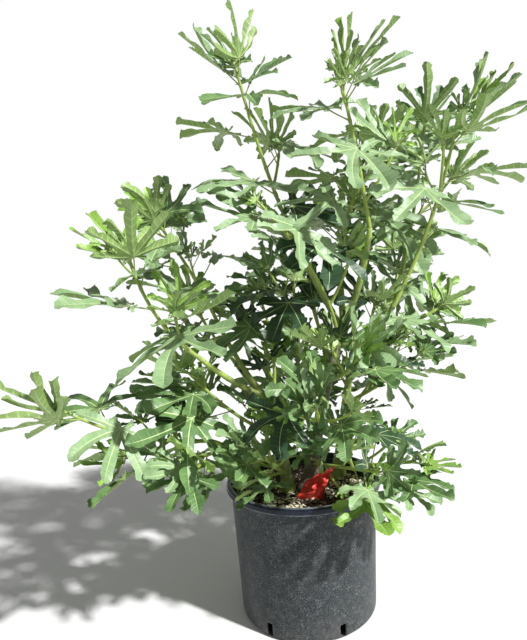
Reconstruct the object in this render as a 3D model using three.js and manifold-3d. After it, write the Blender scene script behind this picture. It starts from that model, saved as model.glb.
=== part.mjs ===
// A young fig tree with several stems in a black nursery pot: trunk, boughs and leafy shoots.
// Units are millimetres, +Z is up, and the origin is the centre of the pot's flat underside.
import * as THREE from "three";
import { mergeVertices } from "three/addons/utils/BufferGeometryUtils.js";
import Module from "manifold-3d";

const wasm = await Module();
wasm.setup();

// ---- Driving dimensions -------------------------------------------------------------------

const pot = {
  height: 303,
  baseRadius: 154,
  shoulderRadius: 164, // outside of the wall, just under the lip
  lipRadius: 175,
  lipHeight: 16,
  wall: 3.5,
  floor: 5,
  footBevel: 7,
  sides: 30,
};
const drain = { count: 6, width: 14, height: 30, sill: 4, turn: -1.17, depth: 40 };
const soil = { top: 276, crown: 8, levelRadius: 126, clearance: 0.4 };
const tag = { width: 58, length: 92, thickness: 1.6, lean: 0.9, foot: [22, -66], turn: -0.3 };

const joinGap = 0.3; // clear space where one piece of wood meets the next
// Root flare of a stem that stands in the soil: how high it goes and how much it adds. Facets are
// the sides and steps of a bent cylinder.
const flare = { rise: 34, share: 0.75, facets: [8, 5] };
const boughFacets = [6, 4];
const shootFacets = [4, 3];
const twigFacets = [3, 2];
const shootRadii = [4.6, 2.8]; // radius of a leafy shoot at its foot and at its tip
const twigRadii = [3.6, 2.6];

// One leaf, full grown. The blade is measured from the end of its stalk to its furthest tip.
const blade = { length: 132, thickness: 3, stalkRadius: 1.6 };
const room = { pot: 8, wood: 6, leaf: 8, twig: 12, search: 30 }; // kept round each growing piece
const notchReach = 0.02; // how far behind the lobes' meeting point the stalk joins
const ridgeReach = 0.05; // where the blade is thickest
const lobes = [
  { turn: -1.38, reach: 0.72, half: 0.115 }, // direction, reach and half width, as shares of the length
  { turn: -0.7, reach: 0.92, half: 0.125 },
  { turn: 0, reach: 1, half: 0.13 },
  { turn: 0.7, reach: 0.92, half: 0.125 },
  { turn: 1.38, reach: 0.72, half: 0.115 },
];

// Leaf growth along a shoot, counted back from its tip.
const goldenTurn = 2.4; // radians from each leaf to the next, round the shoot
const spacing = { tip: 4, first: 8, growth: 9, most: 78, spread: 0.4, foot: 0.93 };
const stalk = { young: 24, old: 72, sunk: 7, clear: 4 };
const matureAt = 5; // the leaf, counted from the tip, that is full grown
const tries = { count: 7, turn: 0.9 }; // a leaf with no room is turned further round its shoot

// How a leaf is held, from a young one at the tip to a grown one. Angles are in radians, and
// each spread is the whole width of a random share.
const posture = {
  turnSpread: 0.5,
  open: { young: 0.42, gain: 0.75, spread: 0.25 }, // between the stalk and its stem
  rise: 0.15, // how much a stalk bends upwards
  stalkSpread: 0.4,
  top: { up: 1, light: 0.52, out: 0.15, spread: 0.5 }, // what the top of a grown blade faces
  sag: { young: -0.25, gain: 0.25, spread: 0.6 }, // how far a grown blade hangs below level
  splay: 0.45, // how far a young blade leans out from its shoot
  rollSpread: 0.9,
  lengthSpread: 0.28,
  curl: { young: -0.3, gain: 0.4, spread: 0.5 }, // how far the ends of the lobes bend down
};

// A side twig leaves the lower part of its shoot, and bends upwards halfway.
const twig = {
  leaves: 3,
  shortest: 60,
  longest: 120,
  size: 0.9,
  youngest: 0.6,
  from: 0.15,
  along: 0.55,
  turn: 1.3,
  way: { axis: 0.5, out: 0.8, up: 0.25 },
  rise: 0.6,
};

// How large the leaves of each kind of shoot are, the share of it that its youngest leaf has
// reached, how broad their lobes are, how near to the stalk the gaps between the lobes come,
// and the number of leaves and side twigs. Low, shaded leaves are broader and less cut.
const kinds = {
  cane: { size: 1.12, youngest: 0.8, broad: 0.9, sinus: 0.21, leaves: 9, twigs: 1 },
  branch: { size: 0.94, youngest: 0.7, broad: 1.1, sinus: 0.28, leaves: 7, twigs: 1 },
  spur: { size: 0.82, youngest: 0.65, broad: 1.35, sinus: 0.38, leaves: 6, twigs: 2 },
};

// Bare wood: name, foot, the point that it bends towards, tip, and radius at foot and tip.
const limbs = [
  ["trunk", [15, 5, 276], [50, 12, 470], [108, 2, 640], 15, 9.5],
  ["stem_left", [-34, -6, 276], [-38, -8, 390], [-75, -4, 496], 11, 8],
  ["stem_right", [88, 58, 276], [104, 60, 400], [125, 42, 520], 11, 8.5],
  ["bough_upper_left", [106, 4, 636], [30, 34, 790], [-2, 32, 884], 7.5, 5],
  ["bough_middle", [110, 0, 640], [150, -50, 735], [162, -80, 850], 8, 5.5],
  ["bough_centre_back", [112, 10, 640], [108, 50, 760], [128, 70, 850], 6.5, 4.8],
  ["bough_right_back", [128, 48, 520], [222, 84, 620], [272, 108, 752], 7, 4.8],
  ["bough_right", [128, 36, 520], [196, 8, 620], [258, -2, 746], 7.5, 5],
  ["bough_left", [-78, -8, 496], [-140, -74, 540], [-206, -100, 608], 7, 5],
  ["bough_left_back", [-78, 0, 498], [-130, 40, 560], [-174, 60, 660], 6.5, 4.8],
  ["bough_low_left", [-36, -7, 330], [-120, -50, 380], [-196, -80, 424], 6.5, 4.8],
  ["bough_back", [110, 10, 632], [128, 110, 668], [136, 180, 736], 6.5, 4.8],
  ["bough_back_right", [126, 50, 512], [180, 120, 560], [236, 190, 650], 6.5, 4.8],
  ["bough_back_left", [-76, 4, 486], [-108, 80, 506], [-150, 150, 556], 6.5, 4.8],
].map(([name, foot, by, tip, ...radii]) => ({ name, foot, by, tip, radii }));

// Leafy shoots: name, kind, foot, the point that it bends towards, tip, and the seed of its
// random draws.
const shoots = [
  ["top_left", "cane", [-2, 32, 884], [-50, 32, 1010], [-92, 20, 1206], 81],
  ["top_middle", "cane", [162, -80, 850], [140, -92, 1010], [118, -60, 1164], 14],
  ["centre_back", "branch", [128, 70, 850], [160, 90, 930], [208, 92, 1040], 12],
  ["right_back", "cane", [272, 108, 752], [318, 130, 900], [343, 130, 1090], 54],
  ["right", "cane", [258, -2, 746], [330, -14, 890], [371, -20, 1076], 90],
  ["left", "cane", [-206, -100, 608], [-292, -124, 680], [-325, -120, 812], 69],
  ["left_back", "branch", [-174, 60, 660], [-212, 72, 760], [-297, 60, 902], 4],
  ["low_left", "cane", [-196, -80, 424], [-345, -140, 442], [-466, -150, 520], 38],
  ["low_right", "spur", [94, 58, 316], [140, -40, 326], [222, -120, 366], 82],
  ["front", "spur", [46, 8, 430], [40, -120, 440], [20, -220, 516], 91],
  ["middle_right", "branch", [96, 5, 600], [220, 30, 600], [332, 44, 662], 30],
  ["middle_left", "branch", [98, 4, 612], [74, -70, 760], [-60, -84, 912], 85],
  ["centre_left", "spur", [92, 6, 590], [20, 20, 640], [-44, 36, 764], 12],
  ["inner_left", "spur", [-62, -5, 460], [-30, 40, 590], [-76, 52, 724], 89],
  ["lower_left", "branch", [-44, -7, 400], [-140, -20, 440], [-236, -24, 560], 35],
  ["foot_left", "spur", [-36, -7, 312], [-60, -90, 356], [-96, -150, 420], 32],
  ["foot_right", "spur", [20, 6, 330], [96, -96, 350], [140, -180, 372], 99],
  ["lower_right", "spur", [112, 55, 452], [180, 10, 490], [262, -24, 566], 88],
  ["centre_front", "spur", [62, 8, 520], [96, -100, 540], [112, -190, 610], 25],
  ["back", "branch", [136, 180, 736], [146, 240, 800], [150, 300, 902], 74],
  ["back_right", "branch", [236, 190, 650], [292, 250, 720], [332, 296, 806], 51],
  ["back_centre", "branch", [80, 9, 560], [60, 190, 650], [30, 322, 862], 24],
  ["back_left", "branch", [-150, 150, 556], [-190, 200, 590], [-232, 252, 660], 8],
  ["low_back_right", "branch", [106, 59, 410], [190, 170, 460], [302, 260, 566], 79],
  ["low_back", "branch", [26, 8, 370], [30, 160, 400], [18, 282, 524], 72],
  ["under_left", "spur", [-157, -64, 402], [-200, -110, 400], [-262, -136, 404], 33],
].map(([name, kind, foot, by, tip, seed]) => ({
  name: `leaves_${name}`,
  ...kinds[kind],
  foot,
  by,
  tip,
  seed,
}));

const tones = { pot: 0x34373a, soil: 0x3b2c20, tag: 0xd8322c, wood: 0x6d5b43, leaf: 0x5c9050 };

// ---- Solids -------------------------------------------------------------------------------

// A closed geometry as a solid. Only positions are kept, so that shared corners merge.
function solidOf(geometry) {
  const bare = geometry.clone();
  for (const extra of Object.keys(bare.attributes)) {
    if (extra !== "position") bare.deleteAttribute(extra);
  }
  const merged = mergeVertices(bare, 1e-4);
  return new wasm.Manifold(
    new wasm.Mesh({
      numProp: 3,
      vertProperties: new Float32Array(merged.attributes.position.array),
      triVerts: new Uint32Array(merged.index.array),
    }),
  );
}

function geometryOf(solid) {
  const mesh = solid.getMesh();
  const corners = new Float32Array(mesh.numVert * 3);
  for (let i = 0; i < mesh.numVert; i++) {
    corners.set(mesh.vertProperties.subarray(i * mesh.numProp, i * mesh.numProp + 3), i * 3);
  }
  const geometry = new THREE.BufferGeometry();
  geometry.setAttribute("position", new THREE.BufferAttribute(corners, 3));
  geometry.setIndex(new THREE.BufferAttribute(new Uint32Array(mesh.triVerts), 1));
  geometry.computeVertexNormals();
  return geometry;
}

// The largest body of a solid: what a cut leaves over is dropped.
function largestBody(solid) {
  const bodies = solid.decompose();
  return bodies.reduce((best, body) => (body.volume() > best.volume() ? body : best));
}

const boxOf = (solid) => {
  const { min, max } = solid.boundingBox();
  return new THREE.Box3(new THREE.Vector3(...min), new THREE.Vector3(...max));
};

// ---- Wood ---------------------------------------------------------------------------------

const curveOf = ({ foot, by, tip }) =>
  new THREE.QuadraticBezierCurve3(
    new THREE.Vector3(...foot),
    new THREE.Vector3(...by),
    new THREE.Vector3(...tip),
  );

// A cylinder bent along a curve. radiusAt gives its radius at each share of the length.
function bentCylinder(curve, radiusAt, sides, steps) {
  const geometry = new THREE.CylinderGeometry(1, 1, 1, sides, steps);
  const frames = curve.computeFrenetFrames(steps);
  const position = geometry.attributes.position;
  const corner = new THREE.Vector3();
  for (let i = 0; i < position.count; i++) {
    corner.fromBufferAttribute(position, i);
    const share = corner.y + 0.5;
    const step = Math.round(share * steps);
    const radius = radiusAt(share);
    const place = curve.getPointAt(share);
    place.addScaledVector(frames.normals[step], corner.z * radius);
    place.addScaledVector(frames.binormals[step], corner.x * radius);
    position.setXYZ(i, place.x, place.y, place.z);
  }
  return solidOf(geometry);
}

// The same curve, drawn out past its tip or started later than its foot.
function shifted({ foot, by, tip }, late, past) {
  const start = new THREE.Vector3(...foot);
  const bend = new THREE.Vector3(...by);
  const end = new THREE.Vector3(...tip);
  start.addScaledVector(bend.clone().sub(start).normalize(), late);
  end.addScaledVector(end.clone().sub(bend).normalize(), past);
  return new THREE.QuadraticBezierCurve3(start, bend, end);
}

// Tapered wood. A stem that stands in the soil flares out at its foot.
const inSoil = ({ foot }) => foot[2] <= soil.top;
function limbSolid(limb, curve, extra) {
  const length = curve.getLength();
  const radiusAt = (share) => {
    const taper = THREE.MathUtils.lerp(limb.radii[0], limb.radii[1], share);
    const root = inSoil(limb) ? Math.exp((-share * length) / flare.rise) * flare.share : 0;
    return taper * (1 + root) + extra;
  };
  return bentCylinder(curve, radiusAt, ...(inSoil(limb) ? flare.facets : boughFacets));
}

// ---- Growth rule --------------------------------------------------------------------------

// Whole-number random draws, the same in any language: each call gives a share from 0 to 1.
function randomFrom(seed) {
  let state = (seed * 747796405 + 2891336453) % 4294967296;
  return () => {
    state = (Math.imul(state, 1664525) + 1013904223) >>> 0;
    return state / 4294967296;
  };
}

const up = new THREE.Vector3(0, 0, 1);
const light = new THREE.Vector3(0.4, -0.68, 0.62).normalize(); // the leaves face this way
const blend = (...terms) => {
  const sum = new THREE.Vector3();
  for (const [share, vector] of terms) sum.addScaledVector(vector, share);
  return sum;
};

// The direction at a share of a curve, and the way out of it at an angle round it.
function outFrom(curve, share, turn) {
  const axis = curve.getTangentAt(share);
  const side = new THREE.Vector3().crossVectors(axis, up).normalize();
  const rise = new THREE.Vector3().crossVectors(side, axis).normalize();
  return { axis, out: blend([Math.cos(turn), side], [Math.sin(turn), rise]) };
}

// Where leaf number k of a stem stands, and how its blade lies.
// The blade's frame: "ahead" along the middle lobe, "across" to its side, "face" out of the top.
function leafOf(stem, curve, k, back, draw, quarter) {
  const { open, top, sag, curl } = posture;
  const { broad, sinus } = stem;
  const chance = (spread) => (draw() - 0.5) * spread;
  const age = Math.min(1, k / matureAt);
  const along = Math.max(0.02, 1 - back / curve.getLength());
  const foot = curve.getPointAt(along);
  const turn = stem.turn + k * goldenTurn + chance(posture.turnSpread) + quarter * tries.turn;
  const { axis, out } = outFrom(curve, along, turn);

  const angle = open.young + open.gain * age + chance(open.spread);
  const reach = THREE.MathUtils.lerp(stalk.young, stalk.old, age) * (1 + chance(posture.stalkSpread));
  const way = blend([Math.cos(angle), axis], [Math.sin(angle), out], [posture.rise, up]).normalize();
  const joint = blend([1, foot], [reach, way]);

  // A grown blade lies across the light, and a young one stands up along its shoot.
  const level = new THREE.Vector3(way.x, way.y, 0);
  if (level.length() < 0.15) level.addScaledVector(out, 0.3);
  level.normalize();
  const skyward = blend([top.up, up], [top.light, light], [top.out + chance(top.spread), level]);
  skyward.normalize();
  const flat = blend([1, level], [-level.dot(skyward), skyward]).normalize();
  const hang = sag.young + sag.gain * age + chance(sag.spread);
  const grown = blend([Math.cos(hang), flat], [-Math.sin(hang), skyward]);
  const young = blend([1, axis], [posture.splay, out]).normalize();
  const ahead = blend([age, grown], [1 - age, young]).normalize();
  const facing = blend([age + 0.15, skyward], [0.3 * (1 - age), up], [age - 1, out]);
  const face = blend([1, facing], [-facing.dot(ahead), ahead]).normalize();
  const beside = new THREE.Vector3().crossVectors(ahead, face).normalize();
  const roll = chance(posture.rollSpread);
  const across = blend([Math.cos(roll), beside], [Math.sin(roll), face]);
  face.crossVectors(across, ahead).normalize();

  const share = THREE.MathUtils.lerp(stem.youngest, 1, Math.sqrt(age));
  const length = blade.length * stem.size * share * (1 + chance(posture.lengthSpread));
  const bend = curl.young + curl.gain * age + chance(curl.spread);
  return measured({ foot, way, joint, ahead, across, face, length, bend, broad, sinus });
}

// A point of the blade, given as shares of its length along and across it.
function onBlade(leaf, [along, across], lift = 0) {
  const reach = along * along + across * across;
  const sink = -leaf.bend * 0.5 * reach * leaf.length + lift;
  const { joint, ahead, face, length } = leaf;
  return blend([1, joint], [along * length, ahead], [across * length, leaf.across], [sink, face]);
}

// A point of a lobe, from how far it lies along the lobe and across it.
const onLobe = (turn, along, across) => [
  Math.cos(turn) * along - Math.sin(turn) * across,
  Math.sin(turn) * along + Math.cos(turn) * across,
];
const lobeMiddles = lobes.flatMap(({ turn, reach }) =>
  [0.4, 0.7, 0.95].map((share) => onLobe(turn, reach * share, 0)),
);

// Outline of a blade as shares of its length, round from one side of the stalk to the other:
// a blunt, slanting end for each lobe, and the gap before the next.
function outlineOf({ broad, sinus }) {
  return lobes.flatMap(({ turn, reach, half }, i) => {
    const gap = i > 0 ? [onLobe((lobes[i - 1].turn + turn) / 2, sinus, 0)] : [];
    const side = turn < 0 ? -broad : broad;
    const ends = [onLobe(turn, reach * 0.86, -half * side), onLobe(turn, reach, half * side * 0.5)];
    return [...gap, ...(side < 0 ? ends.reverse() : ends)];
  });
}

// The leaf with what is compared when leaves are kept apart: its rim, the middles of its lobes,
// its facets and edges as bare triangles and lines, and the box that they fill.
function measured(leaf) {
  const rim = outlineOf(leaf).map((place) => onBlade(leaf, place));
  const marks = [leaf.joint, ...lobeMiddles.map((place) => onBlade(leaf, place))];
  const next = rim.map((_, i) => rim[(i + 1) % rim.length]);
  const facets = rim.map((corner, i) => [leaf.joint, corner, next[i]]);
  const low = blend([1, leaf.foot], [stalk.sunk, leaf.way]); // clear of the stem that bears it
  const high = blend([1, leaf.joint], [-stalk.clear, leaf.way]);
  const spokes = rim.map((corner) => [leaf.joint, corner]);
  const edges = [...spokes, ...rim.map((corner, i) => [corner, next[i]]), [low, high]];
  const box = new THREE.Box3().setFromPoints([...rim, leaf.foot]);
  return { ...leaf, rim, marks, facets, edges, box };
}

// Points down the middle of a piece of wood, each with the wood's radius.
function woodPoints(wood, radii) {
  const curve = curveOf(wood);
  const count = Math.ceil(curve.getLength() / 15);
  return Array.from({ length: count + 1 }, (_, i) => ({
    point: curve.getPointAt(i / count),
    radius: THREE.MathUtils.lerp(radii[0], radii[1], i / count),
  }));
}

const linesOf = (points) => points.slice(1).map((end, i) => [points[i].point, end.point]);
const nearPot = ({ x, y, z }) =>
  z < pot.height + room.pot && Math.hypot(x, y) < pot.lipRadius + room.pot;

const ray = new THREE.Ray();
const hit = new THREE.Vector3();
function crosses(edges, facets) {
  return edges.some(([start, end]) => {
    const length = start.distanceTo(end);
    ray.set(start, blend([1 / length, end], [-1 / length, start]));
    return facets.some(
      ([a, b, c]) => ray.intersectTriangle(a, b, c, false, hit) && hit.distanceTo(start) <= length,
    );
  });
}

const within = (marks, points, gap) =>
  marks.some((mark) => points.some((point) => mark.distanceToSquared(point) < gap * gap));

// Whether a leaf stays clear of the pot, the wood and the leaves grown so far.
function leafFits(leaf, wood, leaves) {
  if (leaf.rim.some(nearPot) || leaf.marks.some(nearPot)) return false;
  const box = leaf.box.clone().expandByScalar(room.search);
  for (const { points, lines } of wood) {
    const near = points.filter(({ point }) => box.containsPoint(point));
    const touches = ({ point, radius }) => within(leaf.marks, [point], radius + room.wood);
    if (near.some(touches)) return false;
    if (near.length && crosses(lines, leaf.facets)) return false;
  }
  const reach = leaf.box.clone().expandByScalar(room.leaf + 2);
  return leaves
    .filter((other) => other.box.intersectsBox(reach))
    .every(
      (other) =>
        !within(leaf.marks, other.marks, room.leaf) &&
        !crosses(leaf.edges, other.facets) &&
        !crosses(other.edges, leaf.facets),
    );
}

// Side twigs of a shoot.
function twigsOf(shoot, curve, draw) {
  return Array.from({ length: shoot.twigs }, (_, j) => {
    const share = twig.from + (twig.along * (j + draw())) / shoot.twigs;
    const turn = shoot.turn + twig.turn + j * goldenTurn + (draw() - 0.5);
    const { axis, out } = outFrom(curve, share, turn);
    const way = blend([twig.way.axis, axis], [twig.way.out, out], [twig.way.up, up]).normalize();
    const length = THREE.MathUtils.lerp(twig.shortest, twig.longest, draw()) * shoot.size;
    const foot = curve.getPointAt(share);
    const by = blend([1, foot], [length / 2, way]);
    const tip = blend([1, by], [length / 2, blend([1, way], [twig.rise, up]).normalize()]);
    const { youngest, leaves } = twig;
    return { ...shoot, foot, by, tip, turn: turn + 1, size: shoot.size * twig.size, youngest, leaves };
  });
}

function twigFits(points, wood, leaves) {
  const free = points.slice(1);
  if (free.some(({ point }) => nearPot(point))) return false;
  const meets = (a, b) => a.point.distanceTo(b.point) < a.radius + b.radius + room.wood;
  if (wood.some((other) => points.slice(2).some((a) => other.points.some((b) => meets(a, b))))) {
    return false;
  }
  const lines = linesOf(points);
  const places = free.map(({ point }) => point);
  const box = new THREE.Box3().setFromPoints(points.map(({ point }) => point));
  box.expandByScalar(room.twig);
  return leaves
    .filter((leaf) => leaf.box.intersectsBox(box))
    .every((leaf) => !within(places, leaf.marks, room.twig) && !crosses(lines, leaf.facets));
}

// Grows every shoot in turn: its side twigs, then the leaves of the shoot and of each twig from
// the tip back. A leaf that finds no room at any of its turns is left out.
function growAll() {
  const woodOf = (points) => ({ points, lines: linesOf(points) });
  const wood = limbs.map((limb) => woodOf(woodPoints(limb, limb.radii)));
  wood.push(...shoots.map((shoot) => woodOf(woodPoints(shoot, shootRadii))));
  const leaves = [];
  return shoots.map((row) => {
    const draw = randomFrom(row.seed);
    const shoot = { ...row, turn: draw() * 2 * Math.PI };
    const found = twigsOf(shoot, curveOf(shoot), draw)
      .map((side) => ({ side, points: woodPoints(side, twigRadii) }))
      .filter(({ points }) => twigFits(points, wood, leaves));
    wood.push(...found.map(({ points }) => woodOf(points)));
    const twigs = found.map(({ side }) => side);
    const first = leaves.length;
    for (const stem of [shoot, ...twigs]) {
      growLeaves(stem, draw, wood, leaves);
    }
    return { shoot, twigs, leaves: leaves.slice(first) };
  });
}

function growLeaves(stem, draw, wood, leaves) {
  const curve = curveOf(stem);
  const length = curve.getLength();
  let back = spacing.tip;
  for (let k = 0; k < stem.leaves && back < length * spacing.foot; k++) {
    const seed = Math.floor(draw() * 65536);
    for (let quarter = 0; quarter < tries.count; quarter++) {
      const leaf = leafOf(stem, curve, k, back, randomFrom(seed), quarter);
      if (!leafFits(leaf, wood, leaves)) continue;
      leaves.push(leaf);
      break;
    }
    const step = spacing.first + spacing.growth * k * (1 + (draw() - 0.5) * spacing.spread);
    back += Math.min(spacing.most, step) * stem.size;
  }
}

// ---- Leaf solids --------------------------------------------------------------------------

// A leaf is one closed form. The blade is a thin lens, with a ridge point on each side, and its
// three-sided stalk runs from inside the stem to the gap at the back of the blade.
function leafSolid(leaf, thickness) {
  const { rim, joint, way, ahead, across } = leaf;
  const under = leaf.face.clone().multiplyScalar(way.dot(leaf.face) < 0 ? 1 : -1);
  const near = blend([1, onBlade(leaf, [ridgeReach, 0])], [thickness / 2, under]);
  const far = blend([1, onBlade(leaf, [ridgeReach, 0])], [-thickness / 2, under]);

  const middle = blend([1, way], [1, ahead]).normalize();
  const keel = blend([1, under], [-under.dot(middle), middle]).normalize();
  const neck = blend([1, joint], [-notchReach * leaf.length, ahead]);
  const { stalkRadius } = blade;
  const ends = [
    blend([1, neck], [-stalkRadius, across]),
    blend([1, neck], [stalkRadius, across]),
    blend([1, neck], [stalkRadius, keel]),
  ];
  const back = blend([1, leaf.foot], [-1, neck]);
  const feet = ends.map((end) => blend([0.7, end], [0.3, neck], [1, back]));

  // Corners: the rim, then the two ridge points, the stalk's upper end and its foot.
  const count = rim.length;
  const [nearest, farthest, end, foot] = [count, count + 1, count + 2, count + 5];
  const faces = [];
  for (let i = 0; i + 1 < count; i++) {
    faces.push([nearest, i, i + 1], [farthest, i + 1, i]);
  }
  faces.push([nearest, end + 2, end], [nearest, end + 1, end + 2], [farthest, end, end + 1]);
  faces.push([nearest, end, 0], [farthest, 0, end]);
  faces.push([nearest, count - 1, end + 1], [farthest, end + 1, count - 1]);
  for (let i = 0; i < 3; i++) {
    const next = (i + 1) % 3;
    faces.push([end + i, foot + i, foot + next], [end + i, foot + next, end + next]);
  }
  faces.push([foot, foot + 2, foot + 1]);

  const geometry = new THREE.BufferGeometry();
  const corners = [...rim, near, far, ...ends, ...feet].flatMap((corner) => corner.toArray());
  geometry.setAttribute("position", new THREE.Float32BufferAttribute(corners, 3));
  geometry.setIndex(faces.flat());
  const solid = solidOf(geometry);
  if (solid.volume() > 0) return solid;
  geometry.setIndex(faces.map(([a, b, c]) => [a, c, b]).flat());
  return solidOf(geometry);
}

// ---- Pot, soil and tag --------------------------------------------------------------------

function potSolid() {
  const { height, baseRadius, shoulderRadius, lipRadius, lipHeight, wall, floor, footBevel } = pot;
  const under = height - lipHeight;
  const profile = [
    [0, 0],
    [baseRadius - footBevel, 0],
    [baseRadius, footBevel],
    [shoulderRadius, under],
    [lipRadius - 1.5, under - 2],
    [lipRadius, under + 3],
    [lipRadius - 1.5, height - 3],
    [lipRadius - 6, height],
    [shoulderRadius - 1, height - 2],
    [shoulderRadius - wall, under],
    [baseRadius - wall, footBevel + floor],
    [baseRadius - footBevel - wall, floor],
    [0, floor],
  ].map(([x, y]) => new THREE.Vector2(x, y));
  const shell = solidOf(new THREE.LatheGeometry(profile, pot.sides).rotateX(Math.PI / 2));
  const slots = Array.from({ length: drain.count }, (_, i) => {
    const slot = new THREE.BoxGeometry(drain.depth, drain.width, drain.height);
    slot.translate(baseRadius, 0, drain.sill + drain.height / 2);
    return solidOf(slot.rotateZ(drain.turn + (i * 2 * Math.PI) / drain.count));
  });
  return shell.subtract(wasm.Manifold.union(slots));
}

// The filled inside, with a low mound on top. The stems stand on it.
function soilSolid() {
  const low = [pot.footBevel, pot.baseRadius];
  const high = [pot.height - pot.lipHeight, pot.shoulderRadius];
  const inner = (z) =>
    THREE.MathUtils.mapLinear(z, low[0], high[0], low[1], high[1]) - pot.wall - soil.clearance;
  const bottom = pot.floor + soil.clearance;
  const profile = [
    [0, bottom],
    [pot.baseRadius - pot.footBevel - pot.wall - 2, bottom],
    [inner(pot.footBevel + pot.floor) - 1, pot.footBevel + pot.floor + 1],
    [inner(soil.top - soil.crown), soil.top - soil.crown],
    [soil.levelRadius, soil.top],
    [0, soil.top],
  ].map(([x, y]) => new THREE.Vector2(x, y));
  return solidOf(new THREE.LatheGeometry(profile, pot.sides).rotateX(Math.PI / 2));
}

// A blank strip of red plastic that stands in the soil and folds over at half its length.
function tagSolid() {
  const { width, length, thickness, lean, foot, turn } = tag;
  const half = length / 2;
  const strip = new THREE.BoxGeometry(width, thickness, length, 1, 1, 2);
  const position = strip.attributes.position;
  for (let i = 0; i < position.count; i++) {
    const z = position.getZ(i) + half;
    const past = Math.max(0, z - half);
    const y = position.getY(i) - past * Math.sin(lean);
    position.setXYZ(i, position.getX(i), y, z - past * (1 - Math.cos(lean)));
  }
  strip.rotateZ(turn).translate(foot[0], foot[1], soil.top + joinGap);
  return solidOf(strip);
}

// ---- Assembly -----------------------------------------------------------------------------

const group = new THREE.Group();

function addNode(name, solid, colour, roughness) {
  const material = new THREE.MeshStandardMaterial({ color: colour, roughness, metalness: 0 });
  const mesh = new THREE.Mesh(geometryOf(solid), material);
  mesh.name = name;
  group.add(mesh);
}

const boxed = (solid) => ({ solid, box: boxOf(solid) });

// A piece of wood starts inside what carries it, and is cut back to 0.3 mm off its surface.
const sleeves = [];
function cutClear(solid, sleeve) {
  const { box } = boxed(solid);
  const near = sleeves.filter((other) => other.box.intersectsBox(box)).map((other) => other.solid);
  sleeves.push(boxed(sleeve));
  return near.length ? largestBody(solid.subtract(wasm.Manifold.union(near))) : solid;
}

// Every limb is cut flat at the ground, so a stem is drawn from a little way under it.
function addLimb(limb) {
  const late = inSoil(limb) ? -soil.crown : 0;
  const sleeve = limbSolid(limb, shifted(limb, late, joinGap), joinGap);
  const whole = limbSolid(limb, shifted(limb, late, 0), 0);
  const solid = cutClear(whole.trimByPlane([0, 0, 1], soil.top + joinGap), sleeve);
  addNode(limb.name, solid, tones.wood, 0.85);
  return boxed(solid);
}

// The stem of a shoot. One that grows on from the tip of its limb starts past the gap.
function stemSolid({ shoot }) {
  const radiusAt = (extra) => (share) => THREE.MathUtils.lerp(...shootRadii, share) + extra;
  const stem = bentCylinder(shifted(shoot, joinGap, 0), radiusAt(0), ...shootFacets);
  return boxed(cutClear(stem, bentCylinder(curveOf(shoot), radiusAt(joinGap), ...shootFacets)));
}

// Leaves that touch any other piece are dropped, and the rest are fused to the stem and twigs.
function addShoot({ shoot, twigs, leaves }, stem, others) {
  const touches = (solid) => {
    const box = boxOf(solid);
    return others.some(
      (other) => other.box.intersectsBox(box) && solid.intersect(other.solid).volume() > 0,
    );
  };
  const swollen = blade.thickness + 2 * joinGap;
  const kept = leaves.filter((leaf) => !touches(leafSolid(leaf, swollen)));
  const sides = twigs.map((side) =>
    bentCylinder(curveOf(side), (share) => THREE.MathUtils.lerp(...twigRadii, share), ...twigFacets),
  );
  const parts = kept.map((leaf) => leafSolid(leaf, blade.thickness));
  const solid = largestBody(wasm.Manifold.union([stem.solid, ...sides, ...parts]));
  addNode(shoot.name, solid, tones.leaf, 0.6);
  return boxed(solid);
}

const potForm = potSolid();
const tagForm = tagSolid();
addNode("pot", potForm, tones.pot, 0.55);
addNode("potting_soil", soilSolid(), tones.soil, 0.95);
addNode("blank_tag", tagForm, tones.tag, 0.4);

const placed = [boxed(potForm), boxed(tagForm), ...limbs.map(addLimb)];
const grown = growAll();
const stems = grown.map(stemSolid);
grown.forEach((growth, i) => {
  const others = [...placed, ...stems.filter((_, j) => j > i)];
  placed.push(addShoot(growth, stems[i], others));
});

export default group;
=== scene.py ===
import bpy
import numpy as np
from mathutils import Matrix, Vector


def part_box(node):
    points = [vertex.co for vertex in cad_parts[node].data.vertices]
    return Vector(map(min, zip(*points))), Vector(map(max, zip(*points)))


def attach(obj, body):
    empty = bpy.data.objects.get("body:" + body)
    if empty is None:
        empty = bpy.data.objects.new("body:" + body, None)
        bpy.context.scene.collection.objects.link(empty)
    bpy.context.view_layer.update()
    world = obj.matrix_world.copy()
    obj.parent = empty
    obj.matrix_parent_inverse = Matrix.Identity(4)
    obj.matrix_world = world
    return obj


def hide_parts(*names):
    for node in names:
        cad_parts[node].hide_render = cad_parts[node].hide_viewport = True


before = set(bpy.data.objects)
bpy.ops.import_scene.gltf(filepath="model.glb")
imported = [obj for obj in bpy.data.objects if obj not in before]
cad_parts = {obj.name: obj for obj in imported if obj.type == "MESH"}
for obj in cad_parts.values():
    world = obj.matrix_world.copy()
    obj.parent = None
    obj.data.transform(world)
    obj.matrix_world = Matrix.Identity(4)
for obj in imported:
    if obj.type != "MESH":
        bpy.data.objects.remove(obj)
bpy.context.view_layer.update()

# A fig tree in a black nursery pot. The pieces are worked out in millimetres, and newPiece turns them
# into metres. The floor, light and camera are in metres.
mm = 0.001
print("frame loaded:", len(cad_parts), "nodes")


def unit(v):
    return v / np.linalg.norm(v, axis=-1, keepdims=True)


def squareTo(v, axis):  # what is left of v across an axis, at length 1
    return unit(v - axis * v.dot(axis))


def smooth(x):  # 3x^2 - 2x^3 from 0 to 1, level outside
    x = np.clip(x, 0, 1)
    return x * x * (3 - 2 * x)


def mix(a, b, share):
    return a + (b - a) * share


def bump(x, middle, width):  # e^-((x - middle) / width)^2
    return np.exp(-(((x - middle) / width) ** 2))


def bent(start, by, end, t):  # (1 - t)^2 start + 2t(1 - t) by + t^2 end
    return start * (1 - t) ** 2 + by * 2 * t * (1 - t) + end * t * t


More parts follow.
